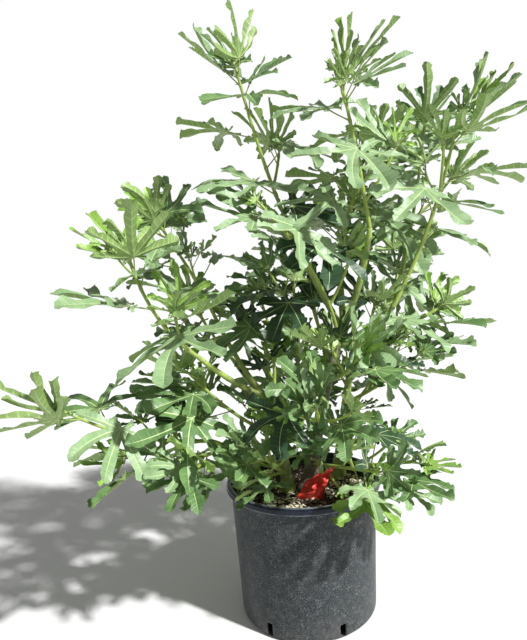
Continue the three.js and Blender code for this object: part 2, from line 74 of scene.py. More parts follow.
def runAlong(line):  # how far along a line of points each point is
    return np.concatenate([[0], np.cumsum(np.linalg.norm(np.diff(line, axis=0), axis=1))])


def anglesOf(sides):
    return np.arange(sides) * 2 * np.pi / sides


def turnedBy(angle):  # rows of points times this are turned about the upright axis
    c, s = np.cos(angle), np.sin(angle)
    return np.array([[c, s, 0], [-s, c, 0], [0, 0, 1]])


lumpKeys = {"axes": (73856093, 19349663, 83492791), "seed": 26544357, "first": 12741261, "second": 7919}


# Lumps from -1 to 1: a random number at each whole-number point of space, blended between them
# by 3x^2 - 2x^3 along each axis.
def lumps(places, seed=0):
    cell = np.floor(places).astype(np.int64)
    inside = smooth(places - cell)
    total = np.zeros(places.shape[:-1])
    for corner in range(8):
        step = np.array([corner & 1, corner >> 1 & 1, corner >> 2 & 1])
        key = ((cell + step) * np.array(lumpKeys["axes"])).sum(-1) + seed * lumpKeys["seed"]
        key = ((key ^ (key >> 13)) * lumpKeys["first"]) & 0xFFFFFF
        key = ((key ^ (key >> 9)) * lumpKeys["second"]) & 0xFFFF
        total += np.where(step, inside, 1 - inside).prod(-1) * key / 0xFFFF
    return total * 2 - 1


# A part is corner places in mm, pattern places (u, v), faces with their finish numbers, and the
# corners that lie on a sharp rim.
def newPart(points, pattern, quads, quadFinish, triangles=None, triangleFinish=0, rim=None):
    triangles = np.zeros((0, 3), int) if triangles is None else triangles
    return {
        "points": points, "pattern": pattern, "quads": quads, "triangles": triangles,
        "quadFinish": np.broadcast_to(quadFinish, len(quads)),
        "triangleFinish": np.broadcast_to(triangleFinish, len(triangles)),
        "rim": np.zeros(len(points), bool) if rim is None else rim,
    }


def joined(parts):
    first = np.cumsum([0] + [len(part["points"]) for part in parts])
    whole = {key: np.concatenate([part[key] for part in parts])
             for key in ("points", "pattern", "quadFinish", "triangleFinish", "rim")}
    for key in ("quads", "triangles"):
        whole[key] = np.concatenate([part[key] + start for part, start in zip(parts, first)])
    return whole


def newPiece(name, part, materials, nodes=()):
    mesh = bpy.data.meshes.new(name)
    corners = np.concatenate([part["quads"].ravel(), part["triangles"].ravel()])
    sizes = np.repeat([4, 3], [len(part["quads"]), len(part["triangles"])])
    mesh.vertices.add(len(part["points"]))
    mesh.vertices.foreach_set("co", (part["points"] * mm).astype(np.float32).ravel())
    mesh.loops.add(len(corners))
    mesh.loops.foreach_set("vertex_index", corners.astype(np.int32))
    mesh.polygons.add(len(sizes))
    mesh.polygons.foreach_set("loop_start", (np.cumsum(sizes) - sizes).astype(np.int32))
    finish = np.concatenate([part["quadFinish"], part["triangleFinish"]])
    mesh.polygons.foreach_set("material_index", finish.astype(np.int32))
    mesh.polygons.foreach_set("use_smooth", np.ones(len(sizes), bool))
    layer = mesh.uv_layers.new(name="pattern")
    layer.data.foreach_set("uv", part["pattern"][corners].astype(np.float32).ravel())
    mesh.update(calc_edges=True)
    ends = np.empty(len(mesh.edges) * 2, np.int32)
    mesh.edges.foreach_get("vertices", ends)
    mesh.edges.foreach_set("use_edge_sharp", part["rim"][ends.reshape(-1, 2)].all(1))
    for material in materials:
        mesh.materials.append(material)
    piece = bpy.data.objects.new(name, mesh)
    bpy.context.scene.collection.objects.link(piece)
    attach(piece, "root")
    if nodes:
        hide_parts(*nodes)
    return piece


def gridFaces(index):  # the four-cornered faces of a grid of corner numbers
    return np.stack([index[:-1, :-1], index[:-1, 1:], index[1:, 1:], index[1:, :-1]], -1).reshape(-1, 4)


# Rings of corners, closed round and with a pole at each end: (ring, corner round it).
def ringPart(rings, poles, pattern, finish=0):
    count, sides = rings.shape[:2]
    index = np.arange(count * sides).reshape(count, sides)
    turned = np.roll(index, -1, axis=1)
    start, end = count * sides, count * sides + 1
    triangles = np.concatenate([
        np.stack([np.full(sides, start), turned[0], index[0]], -1),
        np.stack([np.full(sides, end), index[-1], turned[-1]], -1),
    ])
    quads = gridFaces(np.concatenate([index, index[:, :1]], 1))
    points = np.concatenate([rings.reshape(-1, 3), poles])
    pattern = np.concatenate([pattern.reshape(-1, 2), pattern[[0, -1], 0]])
    return newPart(points, pattern, quads, finish, triangles, finish)


def ringPattern(lengthwise, angle):  # u along a stem or a wall, and v round it, a little under 1 at most
    return np.stack(np.broadcast_arrays(lengthwise[:, None], angle / 6.3), -1)


# Materials. Each is a plain base colour with its own fine variation, worked out by nodes.

def newMaterial(name, roughness):
    material = bpy.data.materials.new(name)
    material.use_nodes = True
    tree = material.node_tree
    tree.nodes.clear()
    shader = tree.nodes.new("ShaderNodeBsdfPrincipled")
    shader.inputs["Roughness"].default_value = roughness
    output = tree.nodes.new("ShaderNodeOutputMaterial")
    tree.links.new(shader.outputs["BSDF"], output.inputs["Surface"])
    return material, tree, shader


def wire(tree, kind, values, **settings):  # a node with its settings, and a value or a link for each input
    node = tree.nodes.new("ShaderNode" + kind)
    for key, value in settings.items():
        setattr(node, key, value)
    for key, value in values.items():
        if isinstance(value, bpy.types.NodeSocket):
            tree.links.new(value, node.inputs[key])
        else:
            node.inputs[key].default_value = value
    return node


def objectPlace(tree):
    return wire(tree, "TexCoord", {}).outputs["Object"]


def patternPlace(tree, axis):  # u for axis 0, v for axis 1
    return wire(tree, "SeparateXYZ", {0: wire(tree, "TexCoord", {}).outputs["UV"]}).outputs[axis]


def stretched(tree, place, scale):
    return wire(tree, "Mapping", {"Vector": place, "Scale": scale}).outputs[0]


def noiseOf(tree, place, scale, detail=3.0, roughness=0.55):
    values = {"Vector": place, "Scale": scale, "Detail": detail, "Roughness": roughness}
    return wire(tree, "TexNoise", values).outputs["Fac"]


def spread(tree, value, low, high, start=0.0, end=1.0):  # low..high of the value becomes start..end
    values = {"Value": value, "From Min": low, "From Max": high, "To Min": start, "To Max": end}
    return wire(tree, "MapRange", values).outputs["Result"]


def spots(tree, place, scale, near, far, most):  # scattered round spots, fading out between near and far
    cells = wire(tree, "TexVoronoi", {"Vector": place, "Scale": scale})
    return spread(tree, cells.outputs["Distance"], near, far, most, 0.0)


def maths(tree, operation, a, b=0.0):
    return wire(tree, "Math", {0: a, 1: b}, operation=operation).outputs[0]


def times(tree, a, b):
    return maths(tree, "MULTIPLY", a, b)


def plus(tree, a, b):
    return maths(tree, "ADD", a, b)


def blend(tree, share, first, second):
    pair = [value if isinstance(value, bpy.types.NodeSocket) else (*value, 1) for value in (first, second)]
    values = {"Factor": share, 6: pair[0], 7: pair[1]}
    return wire(tree, "Mix", values, data_type="RGBA").outputs[2]


# Each layer is (value, low, high, most, colour): its colour covers the ones before by 0 where the value
# is at low, up to most where it is at high.
def layered(tree, colour, layers):
    for value, low, high, most, over in layers:
        colour = blend(tree, spread(tree, value, low, high, 0.0, most), colour, over)
    return colour


def toned(colour, share):
    return tuple(min(1, part * share) for part in colour)


def finishWith(tree, shader, colour, roughness, height, strength, distance):
    tree.links.new(colour, shader.inputs["Base Color"])
    if roughness is not None:
        tree.links.new(roughness, shader.inputs["Roughness"])
    relief = wire(tree, "Bump", {"Height": height, "Strength": strength, "Distance": distance})
    tree.links.new(relief.outputs["Normal"], shader.inputs["Normal"])


# The growth rule of the part's source, written again: limbs, leafy shoots, side twigs and leaves.

growth = {
    "goldenTurn": 2.4,
    "matureAt": 5,
    "tries": 7, "triesTurn": 0.9,
    "spacing": {"tip": 4, "first": 8, "growth": 9, "most": 78, "spread": 0.4, "foot": 0.93},
    "stalk": {"young": 24, "old": 72, "sunk": 7, "clear": 4},
    "room": {"pot": 8, "wood": 6, "leaf": 8, "twig": 12, "search": 30, "slack": 2},
    "bladeLength": 132,
    "shootRadii": (4.6, 2.8), "twigRadii": (3.6, 2.6), "sprigRadii": (2.4, 1.8),
    "potHeight": 303, "lipRadius": 175, "soilTop": 276,
    "curveSamples": 201, "woodStep": 15,
    "leafSeeds": 65536, "sprigSeed": 1000,
}
posture = {
    "turnSpread": 0.5,
    "open": {"young": 0.42, "gain": 0.75, "spread": 0.25},
    "rise": 0.15,
    "stalkSpread": 0.4,
    "upright": {"below": 0.15, "aside": 0.3},  # the blade of a nearly upright stalk is turned outwards
    "top": {"up": 1.0, "light": 0.52, "out": 0.15, "spread": 0.5},
    "sag": {"young": -0.25, "gain": 0.25, "spread": 0.6},
    "splay": 0.45,
    "facing": {"top": 0.15, "up": 0.3},
    "rollSpread": 0.9,
    "lengthSpread": 0.28,
    "curl": {"young": -0.3, "gain": 0.4, "spread": 0.5},
}
lobes = {
    "turn": np.array([-1.38, -0.7, 0, 0.7, 1.38]),
    "reach": np.array([0.72, 0.92, 1, 0.92, 0.72]),
    "half": np.array([0.115, 0.125, 0.13, 0.125, 0.115]),
    "shoulder": 0.86, "tipShare": 0.5,
    "marks": np.array([0.4, 0.7, 0.95]),
}
kinds = {
    "cane": {
        "size": 1.12, "youngest": 0.8, "broad": 0.9, "sinus": 0.21, "leaves": 9, "twigs": 1, "sprigs": 1,
    },
    "branch": {
        "size": 0.94, "youngest": 0.7, "broad": 1.1, "sinus": 0.28, "leaves": 7, "twigs": 1, "sprigs": 2,
    },
    "spur": {
        "size": 0.82, "youngest": 0.65, "broad": 1.35, "sinus": 0.38, "leaves": 6, "twigs": 2, "sprigs": 2,
    },
}
sideTwig = {
    "leaves": 3, "shortest": 60, "longest": 120, "size": 0.9, "youngest": 0.6, "from": 0.15, "along": 0.55,
    "turn": 1.3, "axis": 0.5, "out": 0.8, "up": 0.25, "rise": 0.6,
}
# Sprigs are the finer twigs that the solids leave out. Their leaves keep inside their shoot's own box.
sprig = {**sideTwig, "shortest": 34, "longest": 75, "size": 0.66, "from": 0.1, "along": 0.8, "turn": 2.9}
fullSprays = {  # sprigs on the shoots that have more than their kind does
    "leaves_low_back": 6, "leaves_low_back_right": 4, "leaves_foot_left": 4, "leaves_foot_right": 3,
    "leaves_low_right": 3,
}

# Name, foot, the place it bends towards, tip, and the radii at foot and tip.
limbRows = [
    ("trunk", (15, 5, 276), (50, 12, 470), (108, 2, 640), (15, 9.5)),
    ("stem_left", (-34, -6, 276), (-38, -8, 390), (-75, -4, 496), (11, 8)),
    ("stem_right", (88, 58, 276), (104, 60, 400), (125, 42, 520), (11, 8.5)),
    ("bough_upper_left", (106, 4, 636), (30, 34, 790), (-2, 32, 884), (7.5, 5)),
    ("bough_middle", (110, 0, 640), (150, -50, 735), (162, -80, 850), (8, 5.5)),
    ("bough_centre_back", (112, 10, 640), (108, 50, 760), (128, 70, 850), (6.5, 4.8)),
    ("bough_right_back", (128, 48, 520), (222, 84, 620), (272, 108, 752), (7, 4.8)),
    ("bough_right", (128, 36, 520), (196, 8, 620), (258, -2, 746), (7.5, 5)),
    ("bough_left", (-78, -8, 496), (-140, -74, 540), (-206, -100, 608), (7, 5)),
    ("bough_left_back", (-78, 0, 498), (-130, 40, 560), (-174, 60, 660), (6.5, 4.8)),
    ("bough_low_left", (-36, -7, 330), (-120, -50, 380), (-196, -80, 424), (6.5, 4.8)),
    ("bough_back", (110, 10, 632), (128, 110, 668), (136, 180, 736), (6.5, 4.8)),
    ("bough_back_right", (126, 50, 512), (180, 120, 560), (236, 190, 650), (6.5, 4.8)),
    ("bough_back_left", (-76, 4, 486), (-108, 80, 506), (-150, 150, 556), (6.5, 4.8)),
]
# Name, kind, foot, the place it bends towards, tip, and the seed of its leaves.
shootRows = [
    ("top_left", "cane", (-2, 32, 884), (-50, 32, 1010), (-92, 20, 1206), 81),
    ("top_middle", "cane", (162, -80, 850), (140, -92, 1010), (118, -60, 1164), 14),
    ("centre_back", "branch", (128, 70, 850), (160, 90, 930), (208, 92, 1040), 12),
    ("right_back", "cane", (272, 108, 752), (318, 130, 900), (343, 130, 1090), 54),
    ("right", "cane", (258, -2, 746), (330, -14, 890), (371, -20, 1076), 90),
    ("left", "cane", (-206, -100, 608), (-292, -124, 680), (-325, -120, 812), 69),
    ("left_back", "branch", (-174, 60, 660), (-212, 72, 760), (-297, 60, 902), 4),
    ("low_left", "cane", (-196, -80, 424), (-345, -140, 442), (-466, -150, 520), 38),
    ("low_right", "spur", (94, 58, 316), (140, -40, 326), (222, -120, 366), 82),
    ("front", "spur", (46, 8, 430), (40, -120, 440), (20, -220, 516), 91),
    ("middle_right", "branch", (96, 5, 600), (220, 30, 600), (332, 44, 662), 30),
    ("middle_left", "branch", (98, 4, 612), (74, -70, 760), (-60, -84, 912), 85),
    ("centre_left", "spur", (92, 6, 590), (20, 20, 640), (-44, 36, 764), 12),
    ("inner_left", "spur", (-62, -5, 460), (-30, 40, 590), (-76, 52, 724), 89),
    ("lower_left", "branch", (-44, -7, 400), (-140, -20, 440), (-236, -24, 560), 35),
    ("foot_left", "spur", (-36, -7, 312), (-60, -90, 356), (-96, -150, 420), 32),
    ("foot_right", "spur", (20, 6, 330), (96, -96, 350), (140, -180, 372), 99),
    ("lower_right", "spur", (112, 55, 452), (180, 10, 490), (262, -24, 566), 88),
    ("centre_front", "spur", (62, 8, 520), (96, -100, 540), (112, -190, 610), 25),
    ("back", "branch", (136, 180, 736), (146, 240, 800), (150, 300, 902), 74),
    ("back_right", "branch", (236, 190, 650), (292, 250, 720), (332, 296, 806), 51),
    ("back_centre", "branch", (80, 9, 560), (60, 190, 650), (30, 322, 862), 24),
    ("back_left", "branch", (-150, 150, 556), (-190, 200, 590), (-232, 252, 660), 8),
    ("low_back_right", "branch", (106, 59, 410), (190, 170, 460), (302, 260, 566), 79),
    ("low_back", "branch", (26, 8, 370), (30, 160, 400), (18, 282, 524), 72),
    ("under_left", "spur", (-157, -64, 402), (-200, -110, 400), (-262, -136, 404), 33),
]

up = np.array([0.0, 0.0, 1.0])
light = unit(np.array([0.4, -0.68, 0.62]))  # the leaves turn their tops towards it
dice = {
    "range": 4294967296, "seedTimes": 747796405, "seedPlus": 2891336453,
    "times": 1664525, "plus": 1013904223,
}


# The source's whole-number draws: each call gives a share from 0 to 1.
def randomFrom(seed):
    state = (seed * dice["seedTimes"] + dice["seedPlus"]) % dice["range"]

    def draw():
        nonlocal state
        state = (state * dice["times"] + dice["plus"]) % dice["range"]
        return state / dice["range"]

    return draw


# A stem is (1 - t)^2 foot + 2t(1 - t) by + t^2 tip, read off by the distance grown along it.
def curveOf(foot, by, tip):
    foot, by, tip = (np.array(end, float) for end in (foot, by, tip))
    t = np.linspace(0, 1, growth["curveSamples"])
    grown = runAlong(bent(foot, by, tip, t[:, None]))
    bend = np.cross(by - foot, tip - by)
    square = bend if np.linalg.norm(bend) > 1 else np.cross(tip - foot, [0.3, 0.9, 0.1])
    return {"ends": (foot, by, tip), "t": t, "grown": grown, "length": grown[-1], "square": unit(square)}


def along(curve, reach):  # places and directions at distances along a stem, and straight on past its ends
    foot, by, tip = curve["ends"]
    reach = np.atleast_1d(reach)
    held = np.clip(reach, 0, curve["length"])
    t = np.interp(held, curve["grown"], curve["t"])[:, None]
    way = unit((1 - t) * (by - foot) + t * (tip - by))
    return bent(foot, by, tip, t) + way * (reach - held)[:, None], way


def outFrom(curve, share, turn):
    place, way = along(curve, share * curve["length"])
    axis = way[0]
    side = unit(np.cross(axis, up))
    rise = unit(np.cross(side, axis))
    return place[0], axis, side * np.cos(turn) + rise * np.sin(turn)


def onLobe(turn, far, wide):
    c, s = np.cos(turn), np.sin(turn)
    return np.stack([c * far - s * wide, s * far + c * wide], -1)


# The plain outline that the source gives a leaf: two corners at each lobe's end and one in each gap.
def outlineOf(broad, sinus):
    corners = []
    for i, (turn, reach, half) in enumerate(zip(lobes["turn"], lobes["reach"], lobes["half"])):
        if i > 0:
            corners.append(onLobe((lobes["turn"][i - 1] + turn) / 2, sinus, 0.0))
        side = -broad if turn < 0 else broad
        shoulder = onLobe(turn, reach * lobes["shoulder"], -half * side)
        ends = [shoulder, onLobe(turn, reach, half * side * lobes["tipShare"])]
        corners += ends[::-1] if side < 0 else ends
    return np.array(corners)


outlines = {kind: outlineOf(rule["broad"], rule["sinus"]) for kind, rule in kinds.items()}
lobeMiddles = np.concatenate([[[0, 0]]] + [
    onLobe(turn, reach * lobes["marks"], 0 * lobes["marks"])
    for turn, reach in zip(lobes["turn"], lobes["reach"])
])


# A place on a blade: joint + a L ahead + c L across - bend / 2 (a^2 + c^2) L face.
def onBlade(leaf, places):
    a, c = places[..., :1], places[..., 1:2]
    flat = a * leaf["ahead"] + c * leaf["across"] - 0.5 * leaf["bend"] * (a * a + c * c) * leaf["face"]
    return leaf["joint"] + flat * leaf["length"]


def leafOf(stem, curve, k, back, draw, quarter):
    def chance(width):
        return (draw() - 0.5) * width

    def grownBy(rule, age):
        return rule["young"] + rule["gain"] * age + chance(rule["spread"])

    age = min(1, k / growth["matureAt"])
    share = max(0.02, 1 - back / curve["length"])
    turn = stem["turn"] + k * growth["goldenTurn"] + chance(posture["turnSpread"])
    turn += quarter * growth["triesTurn"]
    foot, axis, out = outFrom(curve, share, turn)
    angle = grownBy(posture["open"], age)
    stalkLength = mix(growth["stalk"]["young"], growth["stalk"]["old"], age)
    stalkLength *= 1 + chance(posture["stalkSpread"])
    way = unit(axis * np.cos(angle) + out * np.sin(angle) + up * posture["rise"])

    # A grown blade lies across the light, and a young one stands up along its shoot.
    level = way * [1, 1, 0]
    if np.linalg.norm(level) < posture["upright"]["below"]:
        level = level + out * posture["upright"]["aside"]
    level = unit(level)
    rule = posture["top"]
    top = unit(up * rule["up"] + light * rule["light"] + level * (rule["out"] + chance(rule["spread"])))
    flat = squareTo(level, top)
    hang = grownBy(posture["sag"], age)
    grown = flat * np.cos(hang) - top * np.sin(hang)
    young = unit(axis + out * posture["splay"])
    ahead = unit(grown * age + young * (1 - age))
    facing = top * (age + posture["facing"]["top"]) + (up * posture["facing"]["up"] - out) * (1 - age)
    face = squareTo(facing, ahead)
    beside = unit(np.cross(ahead, face))
    roll = chance(posture["rollSpread"])
    across = beside * np.cos(roll) + face * np.sin(roll)
    face = unit(np.cross(across, ahead))
    length = growth["bladeLength"] * stem["size"] * mix(stem["youngest"], 1, np.sqrt(age))
    length *= 1 + chance(posture["lengthSpread"])
    return measured({
        "foot": foot, "way": way, "joint": foot + way * stalkLength,
        "ahead": ahead, "across": across, "face": face, "length": length,
        "bend": grownBy(posture["curl"], age), "age": age, "share": share, "kind": stem["kind"],
    })


# What is compared when leaves are kept apart: facets and edges of the plain outline, the middles
# of the lobes, and the box that they fill.
def measured(leaf):
    rim = onBlade(leaf, outlines[leaf["kind"]])
    after = np.roll(rim, -1, axis=0)
    joint = np.broadcast_to(leaf["joint"], rim.shape)
    low = leaf["foot"] + leaf["way"] * growth["stalk"]["sunk"]
    high = leaf["joint"] - leaf["way"] * growth["stalk"]["clear"]
    held = np.concatenate([rim, leaf["foot"][None]])
    leaf.update({
        "rim": rim,
        "marks": onBlade(leaf, lobeMiddles),
        "facets": np.stack([joint, rim, after], 1),
        "edges": np.concatenate([np.stack([joint, rim], 1), np.stack([rim, after], 1), [[low, high]]]),
        "low": held.min(0), "high": held.max(0),
    })
    return leaf


def nearPot(places):
    inside = np.hypot(places[:, 0], places[:, 1]) < growth["lipRadius"] + growth["room"]["pot"]
    return (inside & (places[:, 2] < growth["potHeight"] + growth["room"]["pot"])).any()


# Whether any line passes through any three-cornered facet, each line against each facet at once.
def crosses(lines, facets):
    start, step = lines[:, None, 0], (lines[:, 1] - lines[:, 0])[:, None]
    first, second = facets[None, :, 1] - facets[None, :, 0], facets[None, :, 2] - facets[None, :, 0]
    square = np.cross(step, second)
    size = (first * square).sum(-1)
    real = np.abs(size) > 1e-9
    size = np.where(real, size, 1)
    away = start - facets[None, :, 0]
    u = (away * square).sum(-1) / size
    turned = np.cross(away, first)
    v = (step * turned).sum(-1) / size
    t = (second * turned).sum(-1) / size
    return (real & (u >= 0) & (v >= 0) & (u + v <= 1) & (t >= 0) & (t <= 1)).any()


def within(marks, places, gap):
    return (np.linalg.norm(marks[:, None] - places[None], axis=2) < gap).any()


def linesOf(points):
    return np.stack([points[:-1], points[1:]], 1)


def woodOf(curve, radii):  # points down the middle of a stem, a wood step apart at most, with its radii
    shares = np.linspace(0, 1, int(np.ceil(curve["length"] / growth["woodStep"])) + 1)
    return along(curve, shares * curve["length"])[0], mix(radii[0], radii[1], shares)


def allWood(wood):
    return {
        "points": np.concatenate([points for points, _ in wood]),
        "radii": np.concatenate([radii for _, radii in wood]),
        "lines": np.concatenate([linesOf(points) for points, _ in wood]),
    }


# The marks, facets and edges of the leaves whose boxes reach between two corners, or None.
def leavesNear(leaves, low, high):
    near = [leaf for leaf in leaves if (leaf["low"] < high).all() and (leaf["high"] > low).all()]
    if not near:
        return None
    return {key: np.concatenate([leaf[key] for leaf in near]) for key in ("marks", "facets", "edges")}


def leafFits(leaf, wood, leaves):
    room, points = growth["room"], wood["points"]
    if nearPot(leaf["rim"]) or nearPot(leaf["marks"]):
        return False
    close = ((points > leaf["low"] - room["search"]) & (points < leaf["high"] + room["search"])).all(1)
    if close.any() and within(leaf["marks"], points[close], wood["radii"][close] + room["wood"]):
        return False
    if crosses(wood["lines"], leaf["facets"]):
        return False
    reach = room["leaf"] + room["slack"]
    others = leavesNear(leaves, leaf["low"] - reach, leaf["high"] + reach)
    return others is None or not (
        within(leaf["marks"], others["marks"], room["leaf"])
        or crosses(leaf["edges"], others["facets"]) or crosses(others["edges"], leaf["facets"])
    )


def twigsOf(shoot, curve, draw, rule, count):
    twigs = []
    for j in range(count):
        share = rule["from"] + rule["along"] * (j + draw()) / count
        turn = shoot["turn"] + rule["turn"] + j * growth["goldenTurn"] + (draw() - 0.5)
        foot, axis, out = outFrom(curve, share, turn)
        way = unit(axis * rule["axis"] + out * rule["out"] + up * rule["up"])
        length = mix(rule["shortest"], rule["longest"], draw()) * shoot["size"]
        by = foot + way * length / 2
        tip = by + unit(way + up * rule["rise"]) * length / 2
        twigs.append({
            **shoot, "curve": curveOf(foot, by, tip), "turn": turn + 1, "size": shoot["size"] * rule["size"],
            "youngest": rule["youngest"], "leaves": rule["leaves"],
        })
    return twigs


def twigFits(twig, wood, leaves):
    room = growth["room"]
    points, radii = twig["wood"]
    free = points[1:]
    if nearPot(free):
        return False
    if within(points[2:], wood["points"], radii[2:, None] + wood["radii"] + room["wood"]):
        return False
    others = leavesNear(leaves, points.min(0) - room["twig"], points.max(0) + room["twig"])
    return others is None or not (
        within(free, others["marks"], room["twig"]) or crosses(linesOf(points), others["facets"])
    )


def growLeaves(stem, draw, wood, leaves, space=None):
    rule, curve = growth["spacing"], stem["curve"]
    back = rule["tip"]
    for k in range(stem["leaves"]):
        if back >= curve["length"] * rule["foot"]:
            break
        seed = int(draw() * growth["leafSeeds"])
        for quarter in range(growth["tries"]):
            leaf = leafOf(stem, curve, k, back, randomFrom(seed), quarter)
            inSpace = space is None or ((leaf["low"] > space[0]).all() and (leaf["high"] < space[1]).all())
            if inSpace and leafFits(leaf, wood, leaves):
                leaves.append(leaf)
                stem["grown"].append(leaf)
                break
        step = rule["first"] + rule["growth"] * k * (1 + (draw() - 0.5) * rule["spread"])
        back += min(rule["most"], step) * stem["size"]


def fittingTwigs(shoot, draw, rule, count, radii, wood, leaves):
    found = []
    for twig in twigsOf(shoot, shoot["curve"], draw, rule, count):
        twig.update({"wood": woodOf(twig["curve"], radii), "radii": radii, "grown": []})
        if twigFits(twig, allWood(wood), leaves):
            found.append(twig)
    wood += [twig["wood"] for twig in found]
    return found


# Every shoot in turn as in the source, and then the sprigs, which only fill what is left free.
def growAll():
    wood = [woodOf(limb["curve"], limb["radii"]) for limb in limbs]
    wood += [woodOf(shoot["curve"], growth["shootRadii"]) for shoot in shoots]
    leaves = []
    for shoot in shoots:
        draw = randomFrom(shoot["seed"])
        shoot.update({"turn": draw() * 2 * np.pi, "radii": growth["shootRadii"], "grown": []})
        twigs = fittingTwigs(shoot, draw, sideTwig, shoot["twigs"], growth["twigRadii"], wood, leaves)
        held = allWood(wood)
        for stem in [shoot] + twigs:
            growLeaves(stem, draw, held, leaves)
        shoot["stems"] = [shoot] + twigs
    ruled = len(leaves)
    for shoot in shoots:
        draw = randomFrom(shoot["seed"] + growth["sprigSeed"])
        space = [np.array(corner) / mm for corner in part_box(shoot["name"])]
        count = fullSprays.get(shoot["name"], shoot["sprigs"])
        sprigs = fittingTwigs(shoot, draw, sprig, count, growth["sprigRadii"], wood, leaves)
        held = allWood(wood)
        for stem in sprigs:
            growLeaves(stem, draw, held, leaves, space)
        shoot["stems"] += [stem for stem in sprigs if stem["grown"]]
    print("grown:", ruled, "leaves by the source's rule and", len(leaves) - ruled, "on finer twigs")


limbs = [dict(name=name, curve=curveOf(*ends), radii=radii) for name, *ends, radii in limbRows]
shoots = [
    dict(name="leaves_" + name, kind=kind, curve=curveOf(*ends), seed=seed, **kinds[kind])
    for name, kind, *ends, seed in shootRows
]
growAll()


# Leaves. A blade is a disc of lobes: its skeleton K runs up the middle of each lobe and its margin M
# round the outside, and the surface between them is K + v (M - K) in the blade's own plane.

leafBlade = {
    "samples": 12, "fewSamples": 7,  # corners up each side of a lobe, on a full leaf and on a small one
    "rows": (0, 0, 0.55, 1),  # from the middle vein to the margin; the second row is the vein's edge
    "patternRows": (0, 0.12, 0.55, 1),
    "fullLength": 132, "thickness": 0.7,
    "basal": {"turn": 2.08, "reach": 0.3, "half": 0.065, "sinus": 0.6, "broad": 0.25},  # beside the stalk
    "notch": 0.04,
    "young": {"basal": 0.55, "turn": 0.9, "half": 0.75, "fold": 0.4, "droop": 0.3},  # at age 0
    "opened": 1.1,  # how far its lobes are spread at full age
    "broad": {"cane": 0.72, "branch": 0.9, "spur": 1.06},
    "neck": 0.74,  # width at the foot of a lobe as a share of its widest
    "gap": 0.215, "gapShare": 0.65, "gapRound": 0.085, "gapRoundMost": 0.12,
    "roundTo": 0.16, "endFrom": 0.62,  # shares of a lobe's side where the gap's round ends and its tip starts
    "widestAt": 0.85, "blunt": 0.42,
    "teeth": {"deep": 0.034, "from": 0.3, "over": 0.3, "more": 1.2, "moreFrom": 0.8,
              "high": 1.7, "low": 0.9, "atTip": 0.6},
    "skeleton": {"behindNeck": 0.55, "least": 0.05, "behindWidest": 0.5, "end": 0.955},
    "stiffTo": 0.3,  # the share of a lobe's side over which it begins to bend, fold and wave
    "leanTo": 1.1, "leanPower": 1.5,
    "vein": {"half": 1.5, "small": 0.35, "taper": 0.75, "most": 0.4,
             "relief": 1.0, "fade": 0.8, "above": 0.25},
}
lobeChance = {  # the least and the most of what is drawn for each lobe of a leaf
    "turn": (-0.07, 0.07), "reach": (0, 0.15), "half": (-0.14, 0.18), "gap": (-0.12, 0.2),
    "teeth": (2.6, 4.4), "depth": (0.5, 1.5), "lean": (-0.28, 0.28), "fold": (0.2, 0.7),
    "droop": (-0.05, 0.2), "twist": (-0.55, 0.55), "wave": (0.014, 0.042), "waves": (1.2, 2.4),
    "phase": (0, 6.3),
}
# Sage and deep are copies of one green, with painted sunlight and painted shade.
leafFinish = {"sage": 0, "mid": 1, "deep": 2, "fresh": 3, "underside": 4, "vein": 5}


# Corner numbers of a blade: (side of the blade, corner round it, row). The two sides share the
# margin, and the two halves of a lobe share its middle vein.
def bladeTemplate(samples):
    lobeCount, rows = len(lobes["turn"]) + 2, len(leafBlade["rows"])
    steps = np.concatenate([np.arange(samples + 1), np.arange(samples - 1, 0, -1)])
    lobe = np.repeat(np.arange(lobeCount), 2 * samples)
    step = np.tile(steps, lobeCount)
    side = np.tile(np.repeat([-1, 1], [samples + 1, samples - 1]), lobeCount)
    around = len(step)
    layer, corner, row = np.meshgrid(np.arange(2), np.arange(around), np.arange(rows), indexing="ij")

    # Corners with the same key are one corner. The vein's and the margin's keys start past all others.
    most = 2 * around * rows
    key = (layer * around + corner) * rows + row
    onVein = (layer * lobeCount + np.where(step[corner] == 0, 0, lobe[corner])) * (samples + 1) + step[corner]
    key = np.where(row == 0, most + onVein, np.where(row == rows - 1, 2 * most + corner, key))
    _, first, number = np.unique(key.ravel(), return_index=True, return_inverse=True)
    number = number.reshape(key.shape)
    upper, lower = (gridFaces(np.concatenate([side, side[:1]])) for side in number)
    strip = np.broadcast_to(np.arange(rows - 1), (around, rows - 1)).ravel()
    return {
        "lobe": lobe, "share": step / samples, "side": side, "half": (side > 0).astype(int),
        "layer": layer.ravel()[first], "corner": corner.ravel()[first], "row": row.ravel()[first],
        "quads": np.concatenate([upper[:, [0, 3, 2, 1]], lower]),
        "onVein": np.tile(strip == 0, 2),
        "onUnderside": np.repeat([False, True], strip.size),
    }


